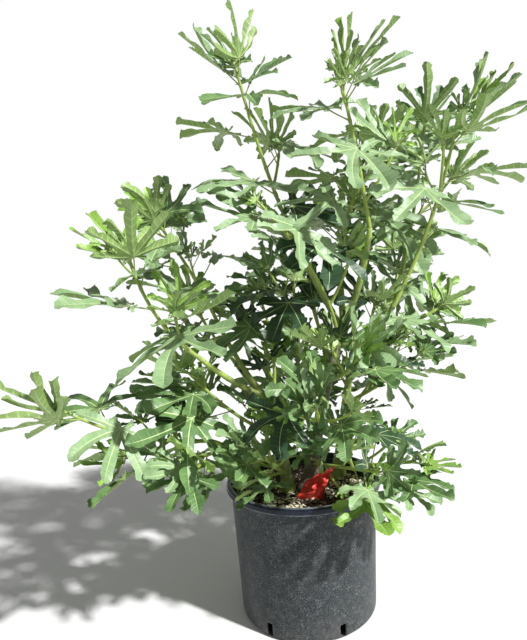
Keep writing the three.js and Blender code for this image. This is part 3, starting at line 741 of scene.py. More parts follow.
# The lobes of one leaf, with the two small ones beside its stalk: the turn, reach and half width of
# each, and the deepest points of the gaps before, between and after them.
def lobesOf(leaf, broad, drawn):
    rule, basal, young, age = leafBlade, leafBlade["basal"], leafBlade["young"], leaf["age"]
    short = basal["reach"] * mix(young["basal"], 1, age) * (1 + basal["broad"] * (broad - 1))
    turn = np.concatenate([[-basal["turn"]], lobes["turn"], [basal["turn"]]])
    reach = np.concatenate([[short], lobes["reach"], [short]])
    half = np.concatenate([[basal["half"]], lobes["half"], [basal["half"]]]) * broad
    turn = turn * mix(young["turn"], rule["opened"], age) + drawn("turn")
    reach = reach * (1 - drawn("reach"))
    half = half * (1 + drawn("half")) * mix(young["half"], 1, age)
    gapAt = (turn[:-1] + turn[1:]) / 2
    deep = mix(rule["gap"], kinds[leaf["kind"]]["sinus"], rule["gapShare"])
    gapReach = deep * (1 + drawn("gap", len(gapAt)))
    gapReach[[0, -1]] *= basal["sinus"]
    back = np.array([[-rule["notch"], 0]])
    return turn, reach, half, np.concatenate([back, onLobe(gapAt, gapReach, 0 * gapAt), back])


# The margin in a lobe's own directions, far along it and wide across it: a quarter round out of the
# gap, a side that widens by 3y^2 - 2y^3, and an end far = w + (1 - w) sin z, wide = cos^0.42 z, where w
# is the widest place. Rounded teeth stand out from it by |cos(pi n (1 - t))|. The skeleton starts at
# the joint, and then keeps a little behind the margin.
def lobeLines(template, turn, long, wide, gap, broad, drawn):
    rule, teeth, skeleton = leafBlade, leafBlade["teeth"], leafBlade["skeleton"]
    lobe, share, half = template["lobe"], template["share"], template["half"]
    direction = onLobe(turn, 1.0, 0.0)[lobe]
    gapFar = (gap * direction).sum(-1)
    gapWide = np.abs(gap[:, 0] * direction[:, 1] - gap[:, 1] * direction[:, 0])
    neck, widest = wide * rule["neck"], rule["widestAt"] * long
    gapRound = np.minimum(rule["gapRound"], rule["gapRoundMost"] * long)
    roundTo, endFrom = rule["roundTo"], rule["endFrom"]
    quarter = np.clip(share / roundTo, 0, 1) * np.pi / 2
    upside = np.clip((share - roundTo) / (endFrom - roundTo), 0, 1)
    ending = np.clip((share - endFrom) / (1 - endFrom), 0, 1) * np.pi / 2

    def inTurn(first, second, third):
        return np.where(share > endFrom, third, np.where(share > roundTo, second, first))

    far = inTurn(
        gapFar + gapRound * (1 - np.cos(quarter)),
        mix(gapFar + gapRound, widest, upside),
        mix(widest, long, np.sin(ending)),
    )
    across = inTurn(
        mix(gapWide, neck, np.sin(quarter)),
        mix(neck, wide, smooth(upside)),
        wide * np.maximum(np.cos(ending), 0) ** rule["blunt"],
    )
    count = drawn("teeth", len(turn), 2)[lobe, half] + teeth["more"] * (broad - teeth["moreFrom"])
    depth = drawn("depth")[lobe] * teeth["deep"] * broad * smooth((share - teeth["from"]) / teeth["over"])
    tooth = depth * (teeth["high"] * np.abs(np.cos(np.pi * count * (1 - share))) - teeth["low"])
    far = far + teeth["atTip"] * tooth * np.sin(ending)
    across = np.where(share < 1, across + tooth * np.cos(ending), 0)

    startFar = gapFar[np.searchsorted(lobe, lobe)]
    low = np.maximum(startFar + gapRound - skeleton["behindNeck"] * neck, skeleton["least"] * long)
    high = widest - skeleton["behindWidest"] * wide
    middleFar = inTurn(
        low * share / roundTo,
        mix(low, high, upside),
        mix(high, skeleton["end"] * long, ending / np.pi * 2),
    )
    return far, across, middleFar


def bladePart(leaf, template, seed, finish):
    rule, vein, young = leafBlade, leafBlade["vein"], leafBlade["young"]
    chance = np.random.RandomState(seed)
    broad, age, length = rule["broad"][leaf["kind"]], leaf["age"], leaf["length"]
    lobe, share, side = template["lobe"], template["share"], template["side"]

    def drawn(key, *shape):  # one share for each lobe, unless a shape is given
        return chance.uniform(*lobeChance[key], shape or lobe[-1] + 1)

    turn, reach, half, gaps = lobesOf(leaf, broad, drawn)
    gap, long = gaps[lobe + template["half"]], reach[lobe]
    far, across, middleFar = lobeLines(template, turn, long, half[lobe], gap, broad, drawn)
    begun = smooth(share / rule["stiffTo"])
    lean = drawn("lean")[lobe] * begun

    def inPlane(farther, wider):  # each lobe bends a little to one side in the plane of the blade
        bend = lean * np.clip(farther / long, 0, rule["leanTo"]) ** rule["leanPower"]
        return onLobe(turn[lobe] + bend, farther, wider)

    skeleton = inPlane(middleFar, 0 * far)
    margin = np.where((share == 0)[:, None], gap, inPlane(far, side * across))
    span = np.linalg.norm(margin - skeleton, axis=1)
    veinHalf = vein["half"] / length * mix(vein["small"], 1, length / rule["fullLength"])
    veinHalf = veinHalf * (1 - vein["taper"] * middleFar / long)
    rows = np.tile(np.array(rule["rows"], float), (len(share), 1))
    rows[:, 1] = np.clip(veinHalf / span, 0, vein["most"])
    places = skeleton[:, None] + (margin - skeleton)[:, None] * rows[..., None]

    # Height over the plane: the lobe folds up beside its vein, droops towards its end, twists, and
    # its margin waves: fold d - droop s^3 + twist d s + wave v^2 sin(2 pi n t + phase).
    off = rows * across[:, None]
    upLobe = (middleFar[:, None] + rows * (far - middleFar)[:, None]) / long[:, None]
    fold = (drawn("fold") + young["fold"] * (1 - age) ** 2)[lobe, None]
    droop = (drawn("droop") * mix(young["droop"], 1, age) * reach)[lobe, None]
    twist = drawn("twist")[lobe, None] * side[:, None]
    wave = drawn("wave")[lobe, None] * broad
    waves = drawn("waves")[lobe, None] * share[:, None]
    phase = drawn("phase", len(turn), 2)[lobe, template["half"]][:, None]
    height = fold * off - droop * np.clip(upLobe, 0, 2) ** 3 + twist * off * upLobe
    height = height + wave * rows**2 * np.sin(2 * np.pi * waves + phase)
    height = height * begun[:, None] - 0.5 * leaf["bend"] * (places**2).sum(-1)

    # The two sides of the blade, with the vein sunk above and standing out beneath.
    corner, row, upper = template["corner"], template["row"], template["layer"] == 0
    halfThick = (rule["thickness"] / 2 / length * (1 - rows**2))[corner, row]
    relief = vein["relief"] / rule["fullLength"] * (1 - vein["fade"] * middleFar / long)
    sunk = np.where(row == 0, relief[corner], 0)
    taken = height[corner, row] + np.where(upper, halfThick - vein["above"] * sunk, -halfThick - sunk)
    flat = places[corner, row]
    points = flat[:, :1] * leaf["ahead"] + flat[:, 1:] * leaf["across"] + taken[:, None] * leaf["face"]
    pattern = np.stack([share[corner], np.array(rule["patternRows"])[row]], -1)
    tone = np.where(template["onUnderside"], leafFinish["underside"], finish)
    tone = np.where(template["onVein"], leafFinish["vein"], tone)
    rim = row == len(rule["rows"]) - 1
    return newPart(leaf["joint"] + points * length, pattern, template["quads"], tone, rim=rim)


# A stem: C(s) + r(s, a) (N cos a + B sin a), with C along its curve and B square to its bend.
def stemPart(curve, reach, radii, sides, finish=0, relief=None):
    centre, way = along(curve, reach)
    square, angle = curve["square"], anglesOf(sides)
    normal = unit(np.cross(square, way))
    rim = normal[:, None] * np.cos(angle)[:, None] + square * np.sin(angle)[:, None]
    rings = centre[:, None] + radii[:, None, None] * rim
    if relief is not None:
        rings = rings + rim * relief(rings, angle)[..., None]
    return ringPart(rings, centre[[0, -1]], ringPattern(reach / curve["length"], angle), finish)


greenStem = {
    "sides": 12, "ringStep": 5.0, "sunk": 3, "nodeSwell": 0.26, "nodeWidth": 4.5,
    "bud": {"length": 11, "onRadius": 2.8, "swell": 0.25, "rings": 8,
            "slim": 0.75, "point": 0.12, "neck": 0.96, "sunk": 1},
    "stalk": {
        "radius": 1.35, "small": 0.45, "foot": 0.9, "footRise": 4, "neck": 0.25, "most": 0.95,
        "back": 0.012, "under": 0.6, "out": 0.55, "sag": 0.03, "rings": 9, "sides": 7,
    },
}
woodFinish = {"stem": 0, "stalk": 1, "bud": 2}


# A leafy stem swells where each leaf leaves it, and ends in a pointed bud.
def leafyStem(stem):
    rule, bud = greenStem, greenStem["bud"]
    curve, (low, high) = stem["curve"], stem["radii"]
    reach = np.linspace(-rule["sunk"], curve["length"], int(curve["length"] / rule["ringStep"]) + 2)
    radii = mix(low, high, reach / curve["length"])
    for leaf in stem["grown"]:
        node = bump(reach, leaf["share"] * curve["length"], rule["nodeWidth"])
        radii = radii * (1 + rule["nodeSwell"] * node)
    body = stemPart(curve, reach, radii, rule["sides"], woodFinish["stem"])
    up = np.linspace(0, 1, bud["rings"])[1:]
    tip = high * (1 + bud["swell"] * np.sin(np.pi * up)) * (1 - up) ** bud["slim"] + bud["point"]
    budRadii = np.concatenate([[radii[-1] * bud["neck"]], tip])
    budLength = bud["length"] * high / bud["onRadius"]
    budReach = curve["length"] + np.concatenate([[-bud["sunk"]], up * budLength])
    return [body, stemPart(curve, budReach, budRadii, rule["sides"], woodFinish["bud"])]


# A stalk leaves its stem along its own way, and comes up to the blade from behind: a thick foot,
# r (1 + f e^(-d / 4)), and a slightly thicker neck.
def stalkPart(leaf, stem):
    rule = greenStem["stalk"]
    neck = leaf["joint"] - rule["back"] * leaf["length"] * leaf["ahead"] - rule["under"] * leaf["face"]
    run = np.linalg.norm(neck - leaf["foot"])
    by = leaf["foot"] + leaf["way"] * run * rule["out"] - up * rule["sag"] * run
    curve = curveOf(leaf["foot"], by, neck)
    reach = np.linspace(0, curve["length"], rule["rings"])
    size = rule["radius"] * mix(rule["small"], 1, leaf["length"] / leafBlade["fullLength"])
    swelling = rule["foot"] * np.exp(-(reach - stem["radii"][1]) / rule["footRise"])
    radii = size * (1 + swelling + rule["neck"] * (reach / curve["length"]) ** 6)
    radii = np.minimum(radii, stem["radii"][1] * rule["most"])
    return stemPart(curve, reach, radii, rule["sides"], woodFinish["stalk"])


tipLeaf = {
    "most": 2, "mostFrom": 0.8,  # two on a stem of this size or more, and one on a smaller one
    "turn": (0, 6.3), "splay": (0.25, 0.55), "stalk": (6, 11), "length": (26, 46), "bend": -0.3, "past": 2,
}


# Unfolding leaves beside a bud are small, stand up, and are the brightest green.
def tipLeaves(stem, chance):
    rule, curve = tipLeaf, stem["curve"]
    place = along(curve, curve["length"] + rule["past"])[0][0]
    leaves = []
    for j in range(rule["most"] if stem["size"] > rule["mostFrom"] else 1):
        turn = chance.uniform(*rule["turn"]) + j * growth["goldenTurn"]
        _, axis, out = outFrom(curve, 1.0, turn)
        ahead = unit(axis + out * chance.uniform(*rule["splay"]))
        face = squareTo(-out, ahead)
        leaves.append({
            "foot": place, "way": ahead, "joint": place + ahead * chance.uniform(*rule["stalk"]),
            "ahead": ahead, "across": np.cross(ahead, face), "face": face,
            "length": chance.uniform(*rule["length"]) * stem["size"],
            "bend": rule["bend"], "age": 0.0, "kind": stem["kind"],
        })
    return leaves


# Greens for the leaves of one spray: the tone, the deeper tone it is mottled with, the side veins' colour,
# and how much they show. The palest, sage, is painted sunlight and sheen for sunlit canes. The darkest, deep,
# is painted shade for the leaves inside the crown. Mid lies between them. Fresh is the green of young leaves,
# and underside that of a blade's back.
leafTones = {
    "sage": ((0.278, 0.412, 0.205), (0.176, 0.284, 0.124), (0.44, 0.56, 0.30), 0.46),
    "mid": ((0.145, 0.262, 0.088), (0.078, 0.162, 0.051), (0.34, 0.45, 0.20), 0.42),
    "deep": ((0.036, 0.086, 0.038), (0.020, 0.054, 0.023), (0.20, 0.29, 0.13), 0.32),
    "fresh": ((0.255, 0.430, 0.072), (0.175, 0.330, 0.050), (0.50, 0.60, 0.20), 0.42),
    "underside": ((0.255, 0.385, 0.115), (0.195, 0.310, 0.085), (0.60, 0.71, 0.34), 0.7),
}
# Where painted light and shade fall on the leaves: inside the crown most leaves are deep, painted shade, and
# at its edge most are sage, painted sunlight. Lower down, part of the sage share goes to mid, painted shade
# low in the crown. Fresh on grown leaves of the listed sprays is partly the green of young leaves and partly
# painted light shining through the blade.
crown = {
    "middle": (50, 0, 620), "size": (300, 240, 420), "edgeFrom": 0.35, "edgeOver": 0.6,
    "inside": (0.05, 0.29, 0.66), "edge": (0.78, 0.19, 0.03),  # how often a leaf is sage, mid or deep there
    "sageFrom": 420, "sageTo": 820, "sageLow": 0.45,
    "youngAge": 0.35, "youngFresh": 0.45,  # how often a young leaf is fresh, and any leaf of these sprays
    "fresh": {"leaves_foot_right": 0.4, "leaves_top_left": 0.2, "leaves_centre_front": 0.08},
    "smallStem": 0.7, "seed": 20,
}


# Odds of sage, mid and deep for a leaf at this place: painted sunlight at the crown's edge and top, painted
# shade inside it and low down.
def paintedLightToneOdds(tip):
    rule = crown
    away = np.linalg.norm((tip - np.array(rule["middle"])) / rule["size"])
    outward = smooth((away - rule["edgeFrom"]) / rule["edgeOver"])
    odds = mix(np.array(rule["inside"]), np.array(rule["edge"]), outward)
    high = smooth((tip[2] - rule["sageFrom"]) / (rule["sageTo"] - rule["sageFrom"]))
    kept = mix(rule["sageLow"], 1, high)
    return odds * [kept, 1, 1] + [0, odds[0] * (1 - kept), 0]


leafLook = {
    "veins": 9.0, "veinEdge": (0.38, 0.49), "veinAtMargin": 0.25,
    "mottle": 26, "speck": 420, "speckShare": 0.22, "speckTone": 1.5,
    "roughness": 0.41, "smoother": 0.07, "rougher": 0.09, "sheenSize": 60,
    "quilt": 1.2, "grain": 0.25, "strength": 0.45, "depth": 0.0009,
}


# A leaf is its tone mottled by soft noise. Its side veins lie where 9u is halfway between two whole
# numbers: they are paler than the blade, and its surface rises towards them.
def leafMaterial(name, tone, deeper, veinColour, veinShare):
    rule = leafLook
    material, tree, shader = newMaterial("leaf_" + name, rule["roughness"])
    place = objectPlace(tree)
    step = maths(tree, "PINGPONG", times(tree, patternPlace(tree, 0), rule["veins"]), 0.5)
    line = spread(tree, step, *rule["veinEdge"])
    line = times(tree, line, spread(tree, patternPlace(tree, 1), 0.1, 1.0, 1.0, rule["veinAtMargin"]))
    mottle = spread(tree, noiseOf(tree, place, rule["mottle"]), 0.35, 0.65)
    speck = spread(tree, noiseOf(tree, place, rule["speck"], 2.0), 0.4, 0.7)
    body = blend(tree, mottle, tone, deeper)
    body = blend(tree, times(tree, speck, rule["speckShare"]), body, toned(tone, rule["speckTone"]))
    colour = blend(tree, times(tree, line, veinShare), body, veinColour)
    low, high = rule["roughness"] - rule["smoother"], rule["roughness"] + rule["rougher"]
    rough = spread(tree, noiseOf(tree, place, rule["sheenSize"]), 0.3, 0.7, low, high)
    height = plus(tree, times(tree, step, rule["quilt"]), times(tree, speck, rule["grain"]))
    finishWith(tree, shader, colour, rough, height, rule["strength"], rule["depth"])
    return material


veinLook = {
    "foot": (0.60, 0.70, 0.33), "end": (0.42, 0.54, 0.25), "fleck": (0.2, 0.3, 0.12), "fleckShare": 0.25,
}


def veinMaterial():
    material, tree, shader = newMaterial("leaf_vein", 0.5)
    place = objectPlace(tree)
    colour = blend(tree, spread(tree, patternPlace(tree, 0), 0, 1), veinLook["foot"], veinLook["end"])
    flecks = times(tree, noiseOf(tree, place, 300), veinLook["fleckShare"])
    colour = blend(tree, flecks, colour, veinLook["fleck"])
    finishWith(tree, shader, colour, None, noiseOf(tree, place, 900), 0.2, 0.0003)
    return material


shootLook = {  # the finish's young and old colours, and its roughness
    "stem": ((0.36, 0.50, 0.085), (0.30, 0.40, 0.085), 0.40),
    "stalk": ((0.35, 0.44, 0.13), (0.31, 0.38, 0.12), 0.45),
    "bud": ((0.36, 0.44, 0.10), (0.30, 0.36, 0.09), 0.4),
}
shootPores = {"colour": (0.42, 0.44, 0.27), "scale": 260.0, "near": 0.16, "far": 0.24, "most": 0.6}


# Green shoots are yellow-green, browner at the foot, with fine lengthwise streaks and pale pores.
def shootMaterial(name, young, old, roughness):
    material, tree, shader = newMaterial("shoot_" + name, roughness)
    place = objectPlace(tree)
    streak = noiseOf(tree, stretched(tree, place, (1, 1, 0.12)), 300)
    patch = noiseOf(tree, place, 45)
    green = blend(tree, spread(tree, patch, 0.3, 0.7), young, toned(young, 0.72))
    body = blend(tree, spread(tree, patternPlace(tree, 0), 0.0, 0.45, 1.0, 0.0), green, old)
    body = layered(tree, body, [(streak, 0.5, 0.75, 0.35, old)])
    pores = spots(tree, place, shootPores["scale"], shootPores["near"], shootPores["far"], shootPores["most"])
    colour = blend(tree, pores, body, shootPores["colour"])
    rough = spread(tree, patch, 0.3, 0.7, roughness - 0.05, roughness + 0.1)
    finishWith(tree, shader, colour, rough, plus(tree, streak, pores), 0.35, 0.0005)
    return material


greens = [leafMaterial(name, *row) for name, row in leafTones.items()] + [veinMaterial()]
shootGreens = [shootMaterial(name, *row) for name, row in shootLook.items()]
fullBlade, smallBlade = bladeTemplate(leafBlade["samples"]), bladeTemplate(leafBlade["fewSamples"])


def isFresh(leaf, shoot, chance):
    young = leaf["age"] < crown["youngAge"] and chance.uniform() < crown["youngFresh"]
    return young or (shoot["name"] in crown["fresh"] and chance.uniform() < crown["fresh"][shoot["name"]])


def sprayParts(shoot, chance):
    blades, wood = [], []
    for stem in shoot["stems"]:
        wood += leafyStem(stem)
        template = smallBlade if stem["size"] < crown["smallStem"] else fullBlade
        for leaf in stem["grown"]:
            fresh = isFresh(leaf, shoot, chance)
            # Sage and deep are painted sunlight and painted shade, dealt by where the leaf stands in the
            # crown.
            finish = leafFinish["fresh"] if fresh else chance.choice(3, p=paintedLightToneOdds(leaf["joint"]))
            blades.append(bladePart(leaf, template, chance.randint(1 << 30), finish))
            wood.append(stalkPart(leaf, stem))
        for leaf in tipLeaves(stem, chance):
            blades.append(bladePart(leaf, smallBlade, chance.randint(1 << 30), leafFinish["fresh"]))
            wood.append(stalkPart(leaf, stem))
    return joined(blades), joined(wood)


count = 0
for number, shoot in enumerate(shoots):
    blades, wood = sprayParts(shoot, np.random.RandomState(number + crown["seed"]))
    place = shoot["name"].replace("leaves_", "")
    newPiece("blades_" + place, blades, greens, [shoot["name"]])
    newPiece("twigs_" + place, wood, shootGreens, [shoot["name"]])
    count += 2 * (len(blades["quads"]) + len(wood["quads"]))
print("leafy shoots:", len(shoots), "with about", count, "triangles")


# Limbs. Each is one tapering stem with bark relief: swellings where leaves once stood, a flare where
# it leaves the soil, and a collar where it leaves its parent.

limbBark = {
    "sides": 32, "ringStep": 3.2, "sunk": 6.0, "sunkShare": 0.6, "clear": 0.3,
    "lump": 0.05, "lumpSize": 22.0, "fineLump": 0.02, "fineSize": 5, "fineSeed": 40,
    "node": {"from": 18.0, "to": 8, "every": 26.0, "slim": 0.7, "thick": 0.5, "on": 15,
             "drift": 6, "swell": 0.07, "width": 3.5},
    "flare": {"share": 0.75, "rise": 34.0, "fold": 1.0},
    "collar": {"share": 0.32, "rise": 16.0, "fold": 0.2},
    "folds": 0.22, "threefold": 0.6, "fivefold": 0.5,
    "oldFrom": 11,  # a limb is old wood when its foot's radius is over this
}


# Radius: r (1 + node swellings) (1 + flare e^(-s / rise)) + lumps, the flare folded by sin 3a and sin 5a.
def limbPart(limb, number):
    rule, node = limbBark, limbBark["node"]
    curve, (low, high) = limb["curve"], limb["radii"]
    fromSoil = curve["ends"][0][2] <= growth["soilTop"]
    foot = rule["flare"] if fromSoil else rule["collar"]
    start = -rule["sunk"] if fromSoil else -rule["sunkShare"] * low
    reach = np.linspace(start, curve["length"] - rule["clear"], int(curve["length"] / rule["ringStep"]))
    radii = mix(low, high, np.clip(reach / curve["length"], 0, 1))
    every = node["every"] * (node["slim"] + node["thick"] * low / node["on"])
    nodes = np.arange(node["from"], curve["length"] - node["to"], every)
    chance = np.random.RandomState(number)
    for place in nodes + chance.uniform(-node["drift"], node["drift"], len(nodes)):
        radii = radii * (1 + node["swell"] * bump(reach, place, node["width"]))
    spreadOut = foot["share"] * np.exp(-np.maximum(reach, 0) / foot["rise"])
    radii = radii * (1 + spreadOut)

    def relief(rings, angle):
        lump = rule["lump"] * lumps(rings / rule["lumpSize"], number)
        lump = lump + rule["fineLump"] * lumps(rings / rule["fineSize"], number + rule["fineSeed"])
        folds = rule["threefold"] * np.sin(3 * angle + number) + rule["fivefold"] * np.sin(5 * angle)
        return radii[:, None] * (lump + rule["folds"] * folds * foot["fold"] * spreadOut[:, None])

    return stemPart(curve, reach, radii, rule["sides"], 0, relief)


barkLook = {
    "old": ((0.155, 0.135, 0.098), (0.165, 0.185, 0.085), 0.78),  # low colour, high colour and roughness
    "young": ((0.29, 0.38, 0.085), (0.40, 0.56, 0.090), 0.46),
}
barkMarks = {"scar": (0.27, 0.25, 0.19), "pore": (0.40, 0.37, 0.28), "crack": (0.035, 0.032, 0.025)}


# Bark is grey-brown and darker low down, and green towards the tip. It has rings round it where
# leaves stood, pale pores, and fine cracks lengthwise.
def barkMaterial(name, low, high, roughness):
    material, tree, shader = newMaterial("bark_" + name, roughness)
    place = objectPlace(tree)
    rings = noiseOf(tree, stretched(tree, place, (0.25, 0.25, 2.2)), 130, 4.0, 0.6)
    cracks = noiseOf(tree, stretched(tree, place, (1, 1, 0.16)), 230, 4.0, 0.65)
    patch = noiseOf(tree, place, 24)
    body = layered(tree, low, [
        (patternPlace(tree, 0), 0.25, 1.0, 1.0, high),
        (patch, 0.4, 0.7, 0.6, toned(low, 0.6)),
        (rings, 0.52, 0.62, 0.55, barkMarks["scar"]),
    ])
    pores = spots(tree, place, 190.0, 0.14, 0.24, 0.7)
    body = blend(tree, pores, body, barkMarks["pore"])
    colour = layered(tree, body, [(cracks, 0.55, 0.7, 0.6, barkMarks["crack"])])
    height = plus(tree, times(tree, rings, 0.9), times(tree, cracks, -0.8))
    height = plus(tree, height, times(tree, pores, 0.3))
    rough = spread(tree, patch, 0.3, 0.7, roughness - 0.1, roughness + 0.08)
    finishWith(tree, shader, colour, rough, height, 0.55, 0.0016)
    return material


barks = {name: barkMaterial(name, *row) for name, row in barkLook.items()}
for number, limb in enumerate(limbs):
    bark = barks["old" if limb["radii"][0] > limbBark["oldFrom"] else "young"]
    newPiece("bark_" + limb["name"], limbPart(limb, number + 1), [bark], [limb["name"]])
print("limbs:", len(limbs))


# The pot: (radius, height) corners carried round the upright axis, each corner rounded off.

potShape = {
    "height": growth["potHeight"], "lipRadius": growth["lipRadius"], "lipHeight": 16,
    "baseRadius": 154, "shoulderRadius": 164, "wall": 3.5, "floor": 5, "footBevel": 7, "sides": 144,
    "dish": 2.5, "dishEdge": (40, 34),  # the underside is raised inside a foot ring
    "wobble": {"twofold": 0.7, "threefold": 0.4, "in": 1.1, "share": 0.5, "at": 170, "over": 110},
    "glossAbove": -1.5,  # the lip's glossier finish starts this far over its underside
}
drain = {"count": 6, "width": 14, "height": 30, "sill": 4, "turn": -1.17, "depth": 40}


# Between its corners a profile is straight, and at each corner it is (1 - t)^2 a + 2t(1 - t) b + t^2 c,
# with b the corner, and a and c no further than the round away from it.
def roundedProfile(corners, rounds, steps=4, most=14.0):
    rows = [corners[:1]]

    def straightTo(end):
        start = rows[-1][-1]
        return mix(start, end, np.linspace(0, 1, int(np.linalg.norm(end - start) / most) + 2)[1:, None])

    for i in range(1, len(corners) - 1):
        before, after = corners[i - 1] - corners[i], corners[i + 1] - corners[i]
        reach = min(rounds[i], np.linalg.norm(before) * 0.45, np.linalg.norm(after) * 0.45)
        start, end = corners[i] + unit(before) * reach, corners[i] + unit(after) * reach
        rows.append(straightTo(start)[:-1])
        rows.append(bent(start, corners[i], end, np.linspace(0, 1, steps + 1)[:, None]))
    rows.append(straightTo(corners[-1]))
    return np.concatenate(rows)


# A lathe: (r cos a, r sin a, z), with a pole where the profile starts and one where it ends.
def lathePart(profile, sides, wobble):
    angle = anglesOf(sides)
    rows = profile[1:-1]
    radius, height = wobble(rows[:, :1], np.repeat(rows[:, 1:], sides, axis=1), angle)
    rings = np.stack([radius * np.cos(angle), radius * np.sin(angle), height], -1)
    poles = np.array([[0, 0, profile[0, 1]], [0, 0, profile[-1, 1]]])
    return ringPart(rings, poles, ringPattern(runAlong(rows) / 300, angle))


def potPart():
    rule = potShape
    under, foot = rule["height"] - rule["lipHeight"], rule["footBevel"]
    base, shoulder, lip, top = rule["baseRadius"], rule["shoulderRadius"], rule["lipRadius"], rule["height"]
    inside = base - rule["wall"]
    corners = np.array([  # radius, height and round of each corner, from under the floor, out, up and back in
        (0, rule["dish"], 0), (base - rule["dishEdge"][0], rule["dish"], 2),
        (base - rule["dishEdge"][1], 0, 2), (base - foot, 0, 4), (base, foot, 5), (shoulder, under, 2.5),
        (lip - 1.5, under - 2, 2.5), (lip, under + 3, 3), (lip - 1.0, top - 3, 3), (lip - 6, top, 3),
        (shoulder - 1, top - 2, 2.5), (shoulder - rule["wall"], under, 3),
        (inside, foot + rule["floor"], 3), (inside - foot, rule["floor"], 3), (0, rule["floor"], 0),
    ], float)

    # A thin moulded wall is never quite true: r + 0.35 sin 2a + 0.2 sin 3a, most of it at mid height.
    def wobble(radius, height, angle):
        sway = rule["wobble"]
        way = sway["twofold"] * np.sin(2 * angle + 0.6) + sway["threefold"] * np.sin(3 * angle + 2.0)
        return radius + (way - sway["in"]) * sway["share"] * bump(height, sway["at"], sway["over"]), height

    part = lathePart(roundedProfile(corners[:, :2], corners[:, 2]), rule["sides"], wobble)
    heights = part["points"][part["quads"], 2].mean(1)
    part["quadFinish"] = (heights > under + rule["glossAbove"]).astype(int)
    return part


def cutDrains(piece):
    rule = drain
    corners = np.array([[x, y, z] for x in (-0.5, 0.5) for y in (-0.5, 0.5) for z in (-0.5, 0.5)])
    faces = np.array([[0, 1, 3, 2], [4, 6, 7, 5], [0, 4, 5, 1], [2, 3, 7, 6], [0, 2, 6, 4], [1, 5, 7, 3]])
    box = corners * [rule["depth"], rule["width"], rule["height"]]
    box = box + [potShape["baseRadius"], 0, rule["sill"] + rule["height"] / 2]
    parts = [newPart(box @ turnedBy(rule["turn"] + turn), np.zeros((8, 2)), faces, 0)
             for turn in anglesOf(rule["count"])]
    slots = newPiece("drain_slots", joined(parts), [])
    modifier = piece.modifiers.new("drains", "BOOLEAN")
    modifier.operation, modifier.solver, modifier.object = "DIFFERENCE", "EXACT", slots
    cut = bpy.data.meshes.new_from_object(piece.evaluated_get(bpy.context.evaluated_depsgraph_get()))
    piece.modifiers.clear()
    piece.data = cut
    bpy.data.objects.remove(slots)


potLook = {  # heights in metres of the lip's edges, which get thin pale lines of painted highlight
    "wall": {
        "low": (0.020, 0.024, 0.026), "high": (0.037, 0.042, 0.045), "roughness": 0.44, "gloss": 0.12,
        "dusty": 0.08, "specks": 1.0, "highlightLinesAt": (),
    },
    "lip": {
        "low": (0.004, 0.006, 0.012), "high": (0.008, 0.012, 0.021), "roughness": 0.2, "gloss": 0.22,
        "dusty": 0.0, "specks": 0.15, "highlightLinesAt": (0.3022, 0.2885),
    },
}
potMarks = {
    "streak": (0.060, 0.064, 0.066), "dust": (0.085, 0.086, 0.083), "speck": (0.37, 0.38, 0.37),
    "earth": (0.17, 0.155, 0.13), "paintedHighlight": (0.20, 0.22, 0.24),
    "speckRows": ((170.0, 0.15, 0.75), (430.0, 0.38, 0.55)),  # scale, reach and strength
}


# Moulded plastic: charcoal, dusty in soft patches, with rubbed streaks that run up the wall and fine pale
# specks of lime and grit. Thin pale lines at the lip's edges are painted highlights.
def potMaterial(name, rule):
    material, tree, shader = newMaterial("pot_" + name, rule["roughness"])
    shader.inputs["Specular IOR Level"].default_value = rule["gloss"]
    shader.inputs["Sheen Weight"].default_value = rule["dusty"]
    shader.inputs["Sheen Roughness"].default_value = 0.4
    place, specks = objectPlace(tree), rule["specks"]
    cloud = noiseOf(tree, place, 5.5, 4.0, 0.6)
    dust = noiseOf(tree, place, 38, 5.0, 0.62)
    colour = layered(tree, rule["low"], [
        (cloud, 0.35, 0.68, 1.0, rule["high"]),
        (noiseOf(tree, place, 330, 3.0, 0.7), 0.42, 0.64, 0.75, toned(rule["high"], 2.2)),
        (noiseOf(tree, stretched(tree, place, (1, 1, 0.1)), 34, 3.0, 0.6), 0.52, 0.72, 0.35 * specks,
         potMarks["streak"]),
        (dust, 0.56, 0.74, 0.4 * specks, potMarks["dust"]),
    ])
    for scale, reach, strength in potMarks["speckRows"]:
        speck = spots(tree, place, scale, reach * 0.6, reach, strength * specks)
        speck = times(tree, speck, spread(tree, noiseOf(tree, place, scale / 6, 3.0, 0.6), 0.44, 0.6))
        colour = blend(tree, speck, colour, potMarks["speck"])
    height = wire(tree, "SeparateXYZ", {0: place}).outputs[2]
    foot = times(tree, spread(tree, height, 0.0, 0.07, 0.3, 0.0), spread(tree, dust, 0.4, 0.65))
    colour = blend(tree, foot, colour, potMarks["earth"])
    # Painted highlights: a thin pale line at each of the lip's edges, broken by the dust noise, where the
    # rounded rim would catch the light.
    for edge in rule["highlightLinesAt"]:
        away = maths(tree, "ABSOLUTE", maths(tree, "SUBTRACT", height, edge))
        highlightLine = spread(tree, away, 0.0003, 0.0014, 0.85, 0.0)
        highlightLine = times(tree, highlightLine, spread(tree, dust, 0.36, 0.56, 0.25, 1.0))
        colour = blend(tree, highlightLine, colour, potMarks["paintedHighlight"])
    rough = spread(tree, cloud, 0.3, 0.7, rule["roughness"] - 0.08, rule["roughness"] + 0.06)
    rough = plus(tree, rough, times(tree, spread(tree, dust, 0.5, 0.75), 0.14))
    relief = plus(tree, noiseOf(tree, place, 900, 2.0, 0.5), times(tree, cloud, 0.6))
    finishWith(tree, shader, colour, rough, relief, 0.12, 0.0006)
    return material


potPlastics = [potMaterial(name, rule) for name, rule in potLook.items()]
pot = newPiece("pot_shell", potPart(), potPlastics, ["pot"])
cutDrains(pot)
print("pot:", len(pot.data.polygons), "faces")


# Potting mix: a closed body with a lumpy top, and loose chips of bark and straw half sunk in it.

